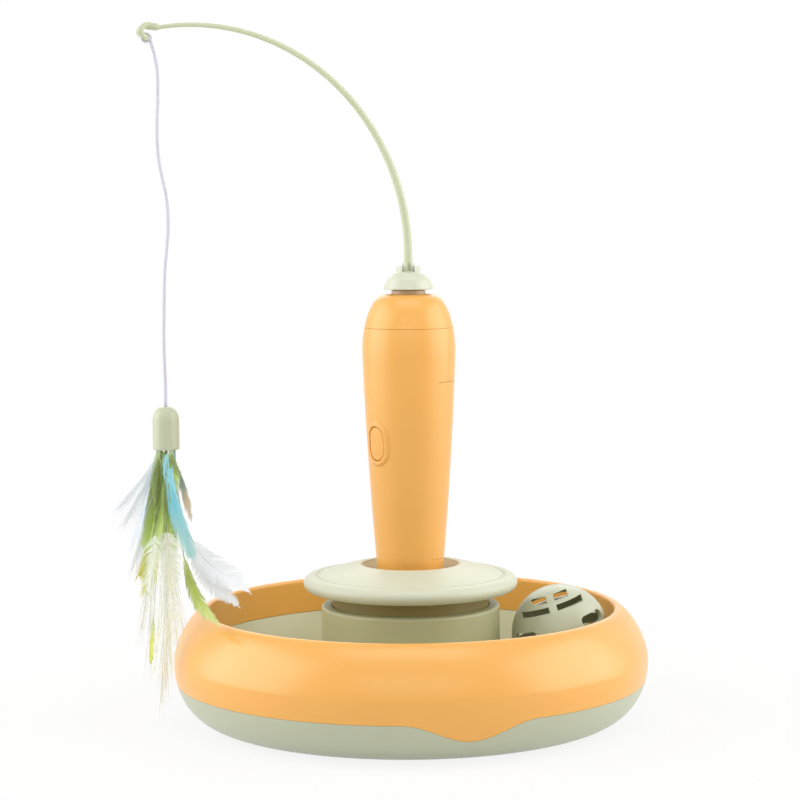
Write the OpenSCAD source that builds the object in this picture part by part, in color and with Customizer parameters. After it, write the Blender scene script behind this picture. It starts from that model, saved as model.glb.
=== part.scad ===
// Ball-track base with a carrot-shaped motor wand, a turning rod and a feather lure.
// Millimetres, +Z up, origin on the table at the centre of the base, front towards -Y.

/* [Base shell] */
// Width of the rim from the track's wall out to the base's belly
rim_w = 14; // [12:0.5:17]
// Height of the rim's crest above the table
base_h = 57.5; // [56.5:0.5:59.5]
// How far the foot ring stands proud of the pan
foot_proud = 1; // [0.6:0.1:1.4]
// Radial width of the base's lower rounding
corner_w = 24; // [21:0.5:26]
// Height at which the lower rounding ends
belly_low_z = 30; // [28:0.5:32]
// Height at which the upper rounding starts
belly_high_z = 33; // [32:0.5:36]
// Fullness of the upper rounding, where 2 is an ellipse
shoulder_power = 1.5; // [1.4:0.05:2]
// Height of the seam between pan and ring
seam_z = 21.6; // [20:0.2:23]
// Width of the open seam line
seam_gap = 0.3; // [0.2:0.05:0.5]
// Depth of the drips that dip below the seam
drip_depth = 9; // [6:0.5:10]
// Half of a drip's width
drip_half_w = 33; // [26:1:38]
// Direction of the front drip
drip_turn = -76; // [-84:1:-62]
// Number of drips round the base
drip_count = 2; // [1:1:3]
// Wall thickness of the ring
ring_wall = 2.4; // [2:0.1:2.8]
// Thickness of the pan's locating lip
lip_wall = 1.6; // [1.2:0.1:2]
// Height of the locating lip above the seam
lip_h = 4.5; // [3:0.5:6]
// Thickness of the pan's floor
pan_floor = 2.6; // [2.4:0.1:3]
// Distance of the foot ring's middle outside the screw circle
foot_out = 12; // [9:0.5:14]
// Width of the foot ring
foot_w = 8; // [6:0.5:10]
// Depth of the foot ring's groove
foot_groove = 1.2; // [0.8:0.1:1.4]

/* [Track and hub] */
// Radius of the track's middle line
track_r = 76; // [68:0.5:84]
// Radius of the track's hollow cross-section
track_arc_r = 32; // [30:0.25:34]
// Height of the track's lowest line
floor_z = 18; // [17:0.5:19]
// How far the ring's inner wall leans in from the track to the mouth
mouth_lean = 3; // [2.5:0.1:4]
// Thickness of the tray's walls
tray_wall = 2.4; // [2:0.1:2.8]
// Height of the hub's top face
hub_top_z = 58.6; // [57:0.2:60]
// Height of the inner ledge that carries the stand plate
ledge_z = 30; // [28:0.5:32]
// Number of screws that hold pan and tray together
base_screw_count = 6; // [4:1:8]

/* [Stand plate] */
// Step from the hub's skin in to the plate's neck
neck_step = 5.4; // [4.8:0.2:6]
// Overhang of the plate beyond its neck
plate_over = 14.4; // [12:0.2:16]
// Height of the plate's underside
plate_under_z = 65.8; // [61:0.2:70]
// Height of the plate's rounded rim
plate_rim_h = 8; // [7:0.2:8.4]
// Radius of the wand's hole in the plate
hole_r = 24.5; // [23.5:0.5:25.5]
// Height of the hole's edge above the plate's underside
plate_h = 13.7; // [12.8:0.1:14.6]
// Distance of the ring groove from the plate's edge
groove_in = 7; // [6.2:0.2:8]
// Wall thickness of the plate, neck and socket
plate_wall = 2.4; // [2:0.1:2.8]
// Depth of the wand's socket below the plate's underside
socket_depth = 19.8; // [17:0.2:22]
// Radial clearance of the wand in its socket
socket_gap = 0.4; // [0.3:0.05:0.6]

/* [Ball] */
// Outer radius of the ball
ball_r = 24.7; // [24:0.1:25.2]
// Wall thickness of the ball
ball_wall = 2.2; // [1.8:0.1:2.6]
// Lean of the resting ball
ball_tilt = 17; // [0:1:25]
// Width of the ball's straight slots
slot_w = 3; // [2.4:0.1:3.4]
// Height of the lower slots above the ball's middle
slot_row = 13.4; // [12.6:0.1:13.8]
// Distance between the slot rows
slot_pitch = 5; // [4.7:0.1:5.4]
// Width of the bar between the slots
slot_bar = 4; // [3:0.2:5]
// Solid left between the slots' ends and the ball's side
slot_margin = 3.5; // [3:0.1:5]
// Length of the side windows
window_l = 16; // [14:0.5:17]
// Height of the side windows
window_h = 5.5; // [4.5:0.25:6]
// Radius of the jingle bell
bell_r = 6.5; // [6:0.1:7]

/* [Wand] */
// Height of the dome cap above its seam
dome_h = 16.7; // [15.6:0.1:17.6]
// Height of the dome cap's seam above the wand's widest ring
belly_drop = 12; // [11:0.2:13]
// Radius of the wand's widest ring
wand_belly_r = 23.5; // [23.2:0.1:24.5]
// Radius of the flat top
wand_flat_r = 11.5; // [11:0.1:12]
// Straight part of the wand's taper
wand_taper = 0.036; // [0.033:0.001:0.038]
// Curved part of the wand's taper
wand_bow = 0.00023; // [0.0002:0.00001:0.00024]
// Wall thickness of the wand
wand_wall = 2; // [1.6:0.1:2.2]
// Direction of the battery cover, opposite the button
cover_turn = 40; // [30:1:50]
// Height of the battery cover's lower edge above the plate
cover_rise = 3.1; // [2.7:0.1:4.5]
// Clearance round the battery cover
cover_gap = 0.25; // [0.2:0.05:0.4]

/* [Button] */
// Height of the button's centre above the control board's lower edge
button_up = 7.2; // [6.4:0.2:8.4]
// Length of the button
button_l = 17.5; // [16:0.5:18]
// Width of the button
button_w = 11; // [10:0.5:11.5]
// Width of the raised bezel round the button
bezel_w = 2.6; // [2:0.1:3]
// Height of the bezel above the wand's skin
bezel_proud = 0.9; // [0.6:0.1:1.2]
// Height of the button above the wand's skin
button_proud = 0.6; // [0.3:0.1:0.9]
// Clearance round the button
button_gap = 0.25; // [0.2:0.05:0.35]

/* [Drive] */
// Gear module
gear_m = 0.4; // [0.39:0.01:0.41]
// Teeth of a pinion
pinion_teeth = 12; // [10:1:12]
// Teeth of a large gear
gear_teeth = 36; // [32:1:36]
// Face width of the gears
gear_w = 3; // [2.6:0.1:3.2]
// Gap between neighbouring gear layers
gear_step = 0.8; // [0.6:0.1:1]
// Radius of the motor can
motor_r = 8.5; // [8:0.1:9]
// Length of the motor can
motor_l = 24; // [21:0.5:27]
// Room between the motor and the battery cradle's post
motor_room = 6.7; // [5:0.1:8]
// Radius of the output shaft
shaft_r = 2.5; // [2.3:0.1:2.7]
// Running clearance of shafts and gears
run_gap = 0.05; // [0.03:0.01:0.08]
// Radius of the neck under the crown
tower_r = 8.6; // [8.2:0.1:8.8]

/* [Batteries] */
// Radius of a cell
cell_r = 5.2; // [5.1:0.05:5.25]
// Length of a cell with its nub
cell_l = 44.2; // [42:0.1:48]
// Distance of the cells from the wand's axis
cell_ring_r = 6.2; // [6.1:0.05:6.3]

/* [Crown and rod] */
// Radius of the crown's skirt
crown_r = 12.4; // [12:0.1:13]
// Gap between the wand's top and the crown
crown_gap = 2.5; // [2.5:0.1:3.3]
// Height of the crown's shoulder
crown_h = 8.6; // [8.4:0.1:9.4]
// Height of the clamp prongs above the shoulder
prong_h = 4.6; // [4:0.1:5.4]
// Radius of the rod at its foot
rod_r = 2.1; // [1.9:0.05:2.2]
// Radius of the rod at its tip
rod_tip_r = 1; // [0.9:0.05:1.1]
// Rise of the rod's curve
rod_rise = 114; // [104:0.5:124]
// Angle of the curve at the rod's tip
rod_sweep = 100; // [99:0.5:101]
// Direction of the rod
rod_turn = 192; // [186:1:200]
// Radius of the eyelet's ring
eyelet_r = 3.1; // [3:0.1:3.4]
// Radius of the eyelet's bar
eyelet_bar_r = 1.5; // [1.4:0.05:1.5]

/* [Lure] */
// Distance of the hanging lure outside the base
lure_out = 3; // [2.5:0.1:8]
// Height of the feather cap's top above the rim's crest
lure_over = 104.5; // [94:0.5:114]
// Diameter of the string
string_d = 1.8; // [1.6:0.1:2]
// Radius of the feather cap
lure_cap_r = 6.6; // [6.2:0.1:7]
// Length of the feather cap
lure_cap_l = 21.2; // [20:0.2:22]
// Wall thickness of the feather cap
lure_cap_wall = 1.4; // [1.2:0.1:1.6]
// Length of the longest feather below the cap
feather_l = 124.8; // [112:0.2:128]
// Thickness of a feather's vane
vane_t = 1; // [0.8:0.1:1.2]

/* [Hidden] */
$fn = 72;
ORANGE = "#f3b562";
SAGE = "#b9bf9c";
PALE_SAGE = "#dcdfc6";
STEEL = "#c4c6c8";
GEAR_WHITE = "#f2efe4";
FRAME_CREAM = "#e6e3d8";
STRING_WHITE = "#f4f2f4";
FEATHER_WHITE = "#f5f6f2";
FEATHER_LIME = "#b6cf5a";
cut = 0.01;
arc_steps = 14;

// Radii that follow from the track, and the heights that follow from the plate
wall_step = 2;
hub_step = 1.2;
wall_foot_r = track_r + track_arc_r - wall_step;
mouth_r = wall_foot_r - mouth_lean;
base_r = wall_foot_r + rim_w;
hub_r = track_r - track_arc_r + hub_step;
neck_r = hub_r - neck_step;
plate_r = neck_r + plate_over;
groove_r = plate_r - groove_in;
foot_r = track_r + foot_out;
hole_edge_z = plate_under_z + plate_h;
wand_foot_z = plate_under_z - socket_depth;

// Base outline
pan_z = foot_proud;
belly_mid_r = base_r - corner_w;
corner_h = belly_low_z - pan_z;
crest_h = base_h - belly_high_z;
crest_w = base_r - mouth_r - 1.5;
pan_wall = ring_wall + seam_gap + lip_wall;
boss_z = pan_z + 4;
screw_head_r = 2.8;
screw_head_h = 1.8;
screw_r = 1.25;
screw_gap = 0.1;
screw_pass = 0.35;
press_gap = 0.02;
boss_gap = 0.05;
base_screw_l = 9;
pan_boss_r = 6;

// Track and hub
arc_z = floor_z + track_arc_r;
flange_z = track_z(wall_foot_r);
hub_foot_z = track_z(hub_r);
neck_gap = 0.3;
stand_screw_r = neck_r - plate_wall - 3;
stand_screw_l = 12;
stand_screw_count = 4;
boss_r = 4;

// Ball
ball_gap = 0.3;
ball_z = floor_z + ball_gap + ball_r;
window_low_z = 2.6;
bell_wall = 0.8;
bell_gap = 0.3;
bell_z = ball_z - ball_r + ball_wall + bell_gap + bell_r;
pellet_r = 1.5;

// Stack inside the wand, from the cradle up to the crown
cover_low_z = hole_edge_z + cover_rise;
cradle_z = cover_low_z - 2.6;
cradle_t = 2;
contact_t = 0.5;
spring_h = 3.5;
cell_z = cradle_z + cradle_t + contact_t + spring_h;
cell_top_z = cell_z + cell_l;
cradle_top_z = cell_top_z + contact_t + cradle_t;
cradle_shell_r = cell_ring_r + cell_r + 0.4;
screw_post_z = cradle_top_z + 6;
screw_post_w = 8;
board_in = 12;
board_t = 1.2;
board_w = 16;
board_low_z = cradle_top_z + 1.6;
board_h = 24;
button_z = board_low_z + button_up;
motor_nub_h = 2;
frame_z = screw_post_z + screw_post_w / 2 + motor_room + motor_nub_h + motor_l;
cover_top_z = frame_z - 3;
frame_t = 2;
layer_1 = frame_z + frame_t + gear_step;
layer_2 = layer_1 + gear_w + gear_step;
layer_3 = layer_2 + gear_w + gear_step;
frame_top_z = layer_3 + gear_w + 1.1;
cap_seam_z = frame_top_z + 9.1;
wand_belly_z = cap_seam_z - belly_drop;
wand_top_z = cap_seam_z + dome_h;
crown_z = wand_top_z + crown_gap;
cradle_r = wand_r(cradle_z) - wand_wall - 0.5;
cover_boss_x = wand_r(screw_post_z) - wand_wall - 3;
switch_h = 2.8;
switch_w = 6;
plunger_r = 1.6;
flange_b = board_in + board_t + switch_h + 0.8;
flange_t = 0.9;

// Gear train, from the output shaft down to the motor
pressure = 25;
backlash = 0.12;
addendum = 0.8 * gear_m;
dedendum = gear_m;
centre = gear_m * (gear_teeth + pinion_teeth) / 2;
train_turn = cover_turn + 180;
second_at = centre * [1, 0];
first_at = second_at + centre * [cos(120), sin(120)];
motor_at = first_at + centre * [-1, 0];
frame_r = wand_r(frame_z) - wand_wall - 0.6;
post_r = 2.2;
post_ring_r = frame_r - post_r - 0.6;
post_turns = [130, 215, 300];
stub_r = 1.5;
pin_r = 0.8;
motor_shaft_r = 1;
tower_top_z = crown_z - 0.6;
bush_r = 4.5;
bush_h = 6.5;

// Crown, rod and eyelet
socket_z = crown_z + crown_h;
shaft_top_z = socket_z - 1;
rod_foot_z = socket_z + 0.4;
rod_curve_z = crown_z + 16.8;
rod_steps = 30;
sleeve_ahead = 3.6;
string_lean = 6.2;
lure_s = base_r + lure_out;
eyelet_s = lure_s + string_lean;
tip_s = eyelet_s - sleeve_ahead;
rod_reach = tip_s / (1 - cos(rod_sweep));
tip_z = rod_curve_z + rod_rise * sin(rod_sweep);
tip_lean = atan2(rod_rise * cos(rod_sweep), rod_reach * sin(rod_sweep));
sleeve_grip = 4;
rod_play = 0.25;
sleeve_r = rod_tip_r + rod_play + 0.6;
eyelet_z = tip_z + sleeve_ahead * tan(tip_lean) - 0.85 * eyelet_r;
loop_bar_r = 0.7;
loop_r = 2.7;
loop_z = eyelet_z - eyelet_r;

// String route, chosen by hand as [sway out from the lure's line, drop below the loop]
string_sway = [
    [6.2, 0], [6.2, 2.2], [5.3, 4.6], [3.8, 7.2], [2.5, 10.2], [1.6, 15.2], [1.4, 20.2], [1.6, 26.2],
    [2, 33.2], [2.2, 41.2], [2, 48.2], [1.2, 56.2], [-0.1, 63.2], [-1.6, 70.2], [-2.4, 77.2],
    [-2.6, 85.2], [-2.2, 92.2], [-1.4, 100.2], [-0.6, 108.2], [-0.2, 116.2], [0, 124.2], [0.2, 132.2],
    [0.4, 140.2], [0.4, 148.2], [0.2, 156.2], [0, 164.2], [0, 172.2], [0, 175.2]
];
string_top_z = loop_z - loop_r - 0.95;
lure_top_z = base_h + lure_over;
string_drop = string_top_z - lure_top_z;
string_end = string_sway[len(string_sway) - 1];
string_share = string_drop / string_end[1];
string_route = [for (p = string_sway) [lure_s + p[0], string_top_z - p[1] * string_share]];

// Feather cap and feathers
lure_at = lure_s * [cos(rod_turn), sin(rod_turn)];
lure_mouth_z = lure_top_z - lure_cap_l;
lure_cavity_r = lure_cap_r - lure_cap_wall;
quill_r = 0.7;
quill_ring_r = lure_cavity_r - quill_r - 0.25;
quill_top_z = lure_mouth_z + 8;
feather_steps = 14;
feather_share = feather_l / 124.8;
fan_facing = [0.3, -0.9, 0.3];

// Track height under a given radius
function track_z(r) = arc_z - sqrt(pow(track_arc_r, 2) - pow(r - track_r, 2));

// Outline points of the base, moved in by a wall
function low_arc(in, a0, a1) = [
    for (i = [0:arc_steps])
        let (a = a0 + (a1 - a0) * i / arc_steps)
        [belly_mid_r + (corner_w - in) * cos(a), belly_low_z - (corner_h - in) * sin(a)]
];
function bulge(share) = pow(max(0, share), 2 / shoulder_power);
function high_arc(in, a0, a1) = [
    for (i = [0:arc_steps])
        let (a = a0 + (a1 - a0) * i / arc_steps)
        [base_r - crest_w + (crest_w - in) * bulge(cos(a)), belly_high_z + (crest_h - in) * bulge(sin(a))]
];
// Angle on the lower rounding at a given height
function low_angle(in, z) = asin((belly_low_z - z) / (corner_h - in));

// Radius of the wand's skin at a height
function wand_r(z) = z <= wand_belly_z
    ? wand_belly_r - wand_taper * (wand_belly_z - z) - wand_bow * pow(wand_belly_z - z, 2)
    : wand_flat_r + (wand_belly_r - wand_flat_r)
        * sqrt(max(0, 1 - pow((z - wand_belly_z) / (wand_top_z - wand_belly_z), 2)));
function wand_line(z0, z1, out, steps = 24) = [
    for (i = [0:steps])
        let (z = z0 + (z1 - z0) * i / steps)
        [wand_r(z) + out, z]
];
// Dome outline with points spread evenly round the curve
function dome_line(a0, a1, in) = [
    for (i = [0:arc_steps])
        let (a = a0 + (a1 - a0) * i / arc_steps)
        [wand_flat_r + (wand_belly_r - wand_flat_r - in) * cos(a),
            wand_belly_z + (wand_top_z - wand_belly_z - in) * sin(a)]
];
function dome_angle(in, z) = asin((z - wand_belly_z) / (wand_top_z - wand_belly_z - in));

// Involute tooth: half angle at a radius
function involute(a) = tan(a) * 180 / PI - a;
function tooth_half(r, pitch_r, teeth) =
    90 / teeth - backlash / 2 / pitch_r * 180 / PI
    + involute(pressure) - involute(acos(min(1, pitch_r * cos(pressure) / r)));
function tooth(teeth, k) =
    let (pitch_r = gear_m * teeth / 2)
    let (root = pitch_r - dedendum)
    let (low = max(root + 0.02, pitch_r * cos(pressure)))
    let (tip = pitch_r + addendum)
    let (radii = [root, for (i = [0:3]) low + (tip - low) * i / 3])
    let (halves = [for (r = radii) tooth_half(max(r, low), pitch_r, teeth)])
    let (mid = 360 * k / teeth)
    concat(
        [for (i = [0:4]) radii[i] * [cos(mid - halves[i]), sin(mid - halves[i])]],
        [for (i = [4:-1:0]) radii[i] * [cos(mid + halves[i]), sin(mid + halves[i])]]
    );

// Small vector helpers
function unit(v) = v / norm(v);
function bezier(p, t) = len(p) == 1
    ? p[0]
    : bezier([for (i = [0:len(p) - 2]) p[i] * (1 - t) + p[i + 1] * t], t);
function step_along(p, i) = i == 0 ? p[1] - p[0]
    : i == len(p) - 1 ? p[i] - p[i - 1]
    : p[i + 1] - p[i - 1];
// Faces of a closed tube of equal rings
function ring_faces(rings, sides) = concat(
    [[for (k = [0:sides - 1]) k]],
    [[for (k = [sides - 1:-1:0]) (rings - 1) * sides + k]],
    [
        for (i = [0:rings - 2])
            for (k = [0:sides - 1])
                let (a = i * sides + k)
                let (b = i * sides + (k + 1) % sides)
                each [[a, a + sides, b + sides], [a, b + sides, b]]
    ]
);
// Width of a feather along its length: bare quill, full vane, pointed tip
function vane_w(t, full, bare) = t < bare
    ? 2 * quill_r
    : let (u = (t - bare) / (1 - bare))
        2 * quill_r * (1 - 0.6 * u) + full * pow(max(0, sin(180 * pow(u, 0.75))), 0.8);

module revolve(points) {
    rotate_extrude() polygon(points);
}
module ring(r_out, r_in, z, h) {
    translate([0, 0, z])
        difference() {
            cylinder(r = r_out, h = h);
            translate([0, 0, -1]) cylinder(r = r_in, h = h + 2);
        }
}
module stadium(l, w) {
    square([l - w, w], center = true);
    for (side = [-1, 1]) {
        translate([side * (l - w) / 2, 0]) circle(d = w);
    }
}
// A tube swept along points in the XZ plane
module swept(points, radii, sides) {
    count = len(points);
    rings = [
        for (i = [0:count - 1])
            let (d = unit(step_along(points, i)))
            for (k = [0:sides - 1])
                let (a = 360 * k / sides)
                [points[i][0] - d[1] * radii[i] * cos(a), radii[i] * sin(a),
                    points[i][1] + d[0] * radii[i] * cos(a)]
    ];
    polyhedron(rings, ring_faces(count, sides), convexity = 6);
}
// A screw standing head down at the origin
module screw(l, head_r = screw_head_r, r = screw_r) {
    cylinder(r = head_r, h = screw_head_h);
    translate([0, 0, screw_head_h - cut]) cylinder(r = r, h = l);
}
module round_copies(count, r) {
    for (k = [0:count - 1]) {
        rotate([0, 0, 360 * (k + 0.5) / count]) translate([r, 0, 0]) children();
    }
}
module rear() {
    rotate([0, 0, cover_turn]) children();
}
// Local +Z points out through the button, local +X points up
module at_button() {
    rear() translate([0, 0, button_z]) rotate([0, -90, 0]) children();
}
module wand_shell(z0, z1, out, in) {
    revolve(concat(wand_line(z0, z1, out), wand_line(z1, z0, in)));
}
module wand_solid(z0, z1, out) {
    revolve(concat([[0, z0]], wand_line(z0, z1, out), [[0, z1]]));
}
// A block in the cover's directions, from x0 to x1 and between two heights
module rear_block(x0, x1, w, z0, z1) {
    rear() translate([x0, -w / 2, z0]) cube([x1 - x0, w, z1 - z0]);
}

// Space of one drip, seen along the radius, lowered by the seam's gap for the pan
module drip_prism(drop) {
    steps = 24;
    outline = [
        for (i = [0:steps])
            let (u = -drip_half_w + 2 * drip_half_w * i / steps)
            [u, seam_z - drop - drip_depth * (1 + cos(180 * u / drip_half_w)) / 2]
    ];
    for (k = [0:drip_count - 1]) {
        rotate([0, 0, drip_turn + 360 * k / drip_count])
            translate([belly_mid_r - 6, 0, 0])
                rotate([90, 0, 90])
                    linear_extrude(base_r)
                        polygon(concat(outline, [[drip_half_w, seam_z + 2], [-drip_half_w, seam_z + 2]]));
    }
}
module base_pan() {
    lip_out = ring_wall + seam_gap;
    lip_top = seam_z + lip_h;
    band_top = seam_z - seam_gap;
    band_root = lip_out + lip_wall / 2;
    band_in_r = belly_mid_r - 3;
    floor_r = belly_mid_r - 1;
    floor_top = pan_z + pan_floor;
    lip = low_arc(lip_out, 90, low_angle(lip_out, lip_top));
    inner = low_arc(pan_wall, low_angle(pan_wall, lip_top), 90);
    clipped = [for (p = inner) [p[0], max(p[1], floor_top)]];
    color(SAGE)
        difference() {
            union() {
                revolve(concat(
                    [[0, pan_z], [floor_r, pan_z], [floor_r, pan_z + lip_out]],
                    lip, clipped,
                    [[0, floor_top]]
                ));
                // Outer band under the seam, with the drips' room cut out of it
                difference() {
                    revolve(concat(
                        [[band_in_r, pan_z + band_root], [band_in_r, pan_z]],
                        low_arc(0, 90, low_angle(0, band_top)),
                        low_arc(band_root, low_angle(band_root, band_top), 90)
                    ));
                    drip_prism(seam_gap);
                }
                round_copies(base_screw_count, track_r)
                    translate([0, 0, pan_z]) cylinder(r = pan_boss_r, h = boss_z - pan_z);
            }
            ring(foot_r + foot_w / 2, foot_r - foot_w / 2, pan_z - 1, foot_groove + 1);
            round_copies(base_screw_count, track_r) {
                translate([0, 0, pan_z - 1]) cylinder(r = screw_head_r + 0.4, h = 1 + screw_head_h + 0.6);
                cylinder(r = screw_r + screw_pass, h = boss_z + 1);
            }
        }
}

module rim_ring() {
    skirt_z = seam_z - drip_depth - 1;
    outer = concat(low_arc(0, low_angle(0, skirt_z), 0), high_arc(0, 0, 90));
    crest_r = base_r - crest_w;
    back_r = wall_foot_r + ring_wall;
    inner = concat(high_arc(ring_wall, 78, 0), low_arc(ring_wall, 0, low_angle(ring_wall, skirt_z)));
    lip = [[crest_r - 0.9, base_h - 0.25], [mouth_r + 0.1, base_h - 1], [mouth_r, base_h - 2]];
    foot = [[wall_foot_r, flange_z], [back_r, flange_z], [mouth_r + ring_wall, base_h - 5]];
    color(ORANGE)
        difference() {
            revolve(concat(outer, lip, foot, inner));
            // The skirt is cut off at the seam, all but the drips
            difference() {
                ring(base_r + 1, belly_mid_r, skirt_z - 1, seam_z - skirt_z + 1);
                drip_prism(0);
            }
        }
}

module track_tray() {
    lower_r = track_arc_r + tray_wall;
    rim_r = wall_foot_r + ring_wall + 2;
    hub_in = hub_r - tray_wall;
    top = [
        for (i = [0:2 * arc_steps])
            let (r = wall_foot_r + (hub_r - wall_foot_r) * i / (2 * arc_steps))
            [r, track_z(r)]
    ];
    under = [
        for (i = [0:2 * arc_steps])
            let (r = hub_r - 0.4 + (rim_r - hub_r + 0.4) * i / (2 * arc_steps))
            [r, arc_z - sqrt(pow(lower_r, 2) - pow(min(r, track_r + lower_r - 4) - track_r, 2))]
    ];
    under_hub = [for (p = under) if (p[1] < flange_z - tray_wall) p];
    edge = 1.6;
    hub_top = [
        for (i = [0:6])
            let (a = 15 * i)
            [hub_r - edge + edge * cos(a), hub_top_z - edge + edge * sin(a)]
    ];
    mouth = neck_r + neck_gap;
    color(SAGE)
        difference() {
            union() {
                revolve(concat(
                    [[rim_r, flange_z - tray_wall], [rim_r, flange_z]],
                    top,
                    hub_top,
                    [[mouth + 0.6, hub_top_z], [mouth, hub_top_z - 0.6], [mouth, hub_top_z - tray_wall]],
                    [[hub_in, hub_top_z - tray_wall], [hub_in, ledge_z], [stand_screw_r - 6, ledge_z]],
                    [[stand_screw_r - 6, ledge_z - tray_wall], [hub_r - 0.4, ledge_z - tray_wall]],
                    under_hub
                ));
                round_copies(base_screw_count, track_r)
                    translate([0, 0, boss_z + boss_gap]) cylinder(r = boss_r, h = floor_z - boss_z - 1);
            }
            round_copies(base_screw_count, track_r)
                translate([0, 0, boss_z - 1]) cylinder(r = screw_r + screw_gap, h = 10);
            round_copies(stand_screw_count, stand_screw_r)
                translate([0, 0, ledge_z - tray_wall - 1])
                    cylinder(r = screw_r + screw_pass, h = tray_wall + 2);
        }
}

module stand_plate() {
    rim_mid_z = plate_under_z + plate_rim_h / 2;
    bead_w = 4.8;
    rim_r = plate_r - bead_w;
    rim = [
        for (i = [0:arc_steps])
            let (a = 90 - 180 * i / arc_steps)
            [rim_r + bead_w * cos(a), rim_mid_z + plate_rim_h / 2 * sin(a)]
    ];
    groove_z = plate_under_z + plate_rim_h;
    dome = [
        for (i = [0:8])
            let (u = i / 8)
            [hole_r + 1.2 + (groove_r - 0.5 - hole_r - 1.2) * u,
                hole_edge_z - (hole_edge_z - groove_z) * (0.7 * u + 0.3 * u * u)]
    ];
    groove = [[groove_r - 0.3, groove_z - 0.7], [groove_r + 0.3, groove_z - 0.7], [groove_r + 0.6, groove_z]];
    neck_in = neck_r - plate_wall;
    throat_z = plate_under_z;
    socket = wand_line(wand_foot_z, throat_z, socket_gap, 8);
    socket_out = wand_line(throat_z, wand_foot_z, socket_gap + plate_wall, 8);
    socket_floor_z = wand_foot_z - plate_wall;
    color(PALE_SAGE)
        difference() {
            union() {
                revolve(concat(
                    [[0, socket_floor_z], [0, wand_foot_z]],
                    socket,
                    [[hole_r, hole_edge_z - 0.9], [hole_r + 0.4, hole_edge_z - 0.2]],
                    dome, groove, rim,
                    [[neck_r, plate_under_z], [neck_r, ledge_z], [neck_in, ledge_z]],
                    [[neck_in, groove_z - plate_wall]],
                    [[hole_r + plate_wall + 1, hole_edge_z - plate_wall - 2]],
                    socket_out,
                    [[wand_r(wand_foot_z) + socket_gap + plate_wall, socket_floor_z]]
                ));
                round_copies(stand_screw_count, stand_screw_r)
                    translate([0, 0, ledge_z]) cylinder(r = boss_r, h = stand_screw_l + 4);
            }
            round_copies(stand_screw_count, stand_screw_r)
                translate([0, 0, ledge_z - 1]) cylinder(r = screw_r + screw_gap, h = stand_screw_l + 1);
        }
}

module foot_ring() {
    side_gap = 0.2;
    color("#5b5f57")
        ring(foot_r + foot_w / 2 - side_gap, foot_r - foot_w / 2 + side_gap, 0, pan_z + foot_groove);
}

module base_screws() {
    color(STEEL)
        round_copies(base_screw_count, track_r)
            translate([0, 0, pan_z + 0.6]) screw(l = base_screw_l);
}

module stand_screws() {
    color(STEEL)
        round_copies(stand_screw_count, stand_screw_r)
            translate([0, 0, ledge_z - tray_wall - screw_head_h]) screw(l = stand_screw_l);
}

// Level slots above the windows, on both sides of a bar that crosses the top
module ball_slots() {
    for (row = [slot_row, slot_row + slot_pitch]) {
        reach = sqrt(pow(ball_r, 2) - pow(row + slot_w, 2)) - slot_margin;
        for (x0 = [slot_bar / 2, -reach]) {
            translate([x0, -ball_r, row]) cube([reach - slot_bar / 2, 2 * ball_r, slot_w]);
        }
    }
}
module ball_windows() {
    window_turn = 49;
    for (turn = [window_turn, 180 - window_turn, 180 + window_turn, -window_turn]) {
        rotate([0, 0, turn - 90])
            translate([ball_r - 6, 0, window_low_z + window_h / 2])
                rotate([90, 0, 90])
                    linear_extrude(10)
                        stadium(window_l, window_h);
    }
}
// Upper half of the slotted ball in the ball's own frame
module ball_half() {
    joint_gap = 0.1;
    difference() {
        intersection() {
            difference() {
                sphere(r = ball_r);
                sphere(r = ball_r - ball_wall);
            }
            translate([-ball_r, -ball_r, joint_gap / 2]) cube(2 * ball_r);
        }
        ball_slots();
        ball_windows();
    }
}
module at_ball() {
    translate([track_r, 0, ball_z]) rotate([0, -ball_tilt, 0]) children();
}
module ball_upper() {
    color(SAGE) at_ball() ball_half();
}
module ball_lower() {
    color(SAGE) at_ball() rotate([180, 0, 0]) ball_half();
}
module ball_bell() {
    slit_w = 1;
    color("#d8c27a")
        translate([track_r, 0, bell_z])
            difference() {
                sphere(r = bell_r);
                sphere(r = bell_r - bell_wall);
                translate([-bell_r, -slit_w / 2, -2 * bell_r]) cube([2 * bell_r, slit_w, 2 * bell_r]);
            }
}
module bell_pellet() {
    color(STEEL)
        translate([track_r, 0, bell_z - bell_r + bell_wall + 0.2 + pellet_r])
            sphere(r = pellet_r);
}

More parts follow.
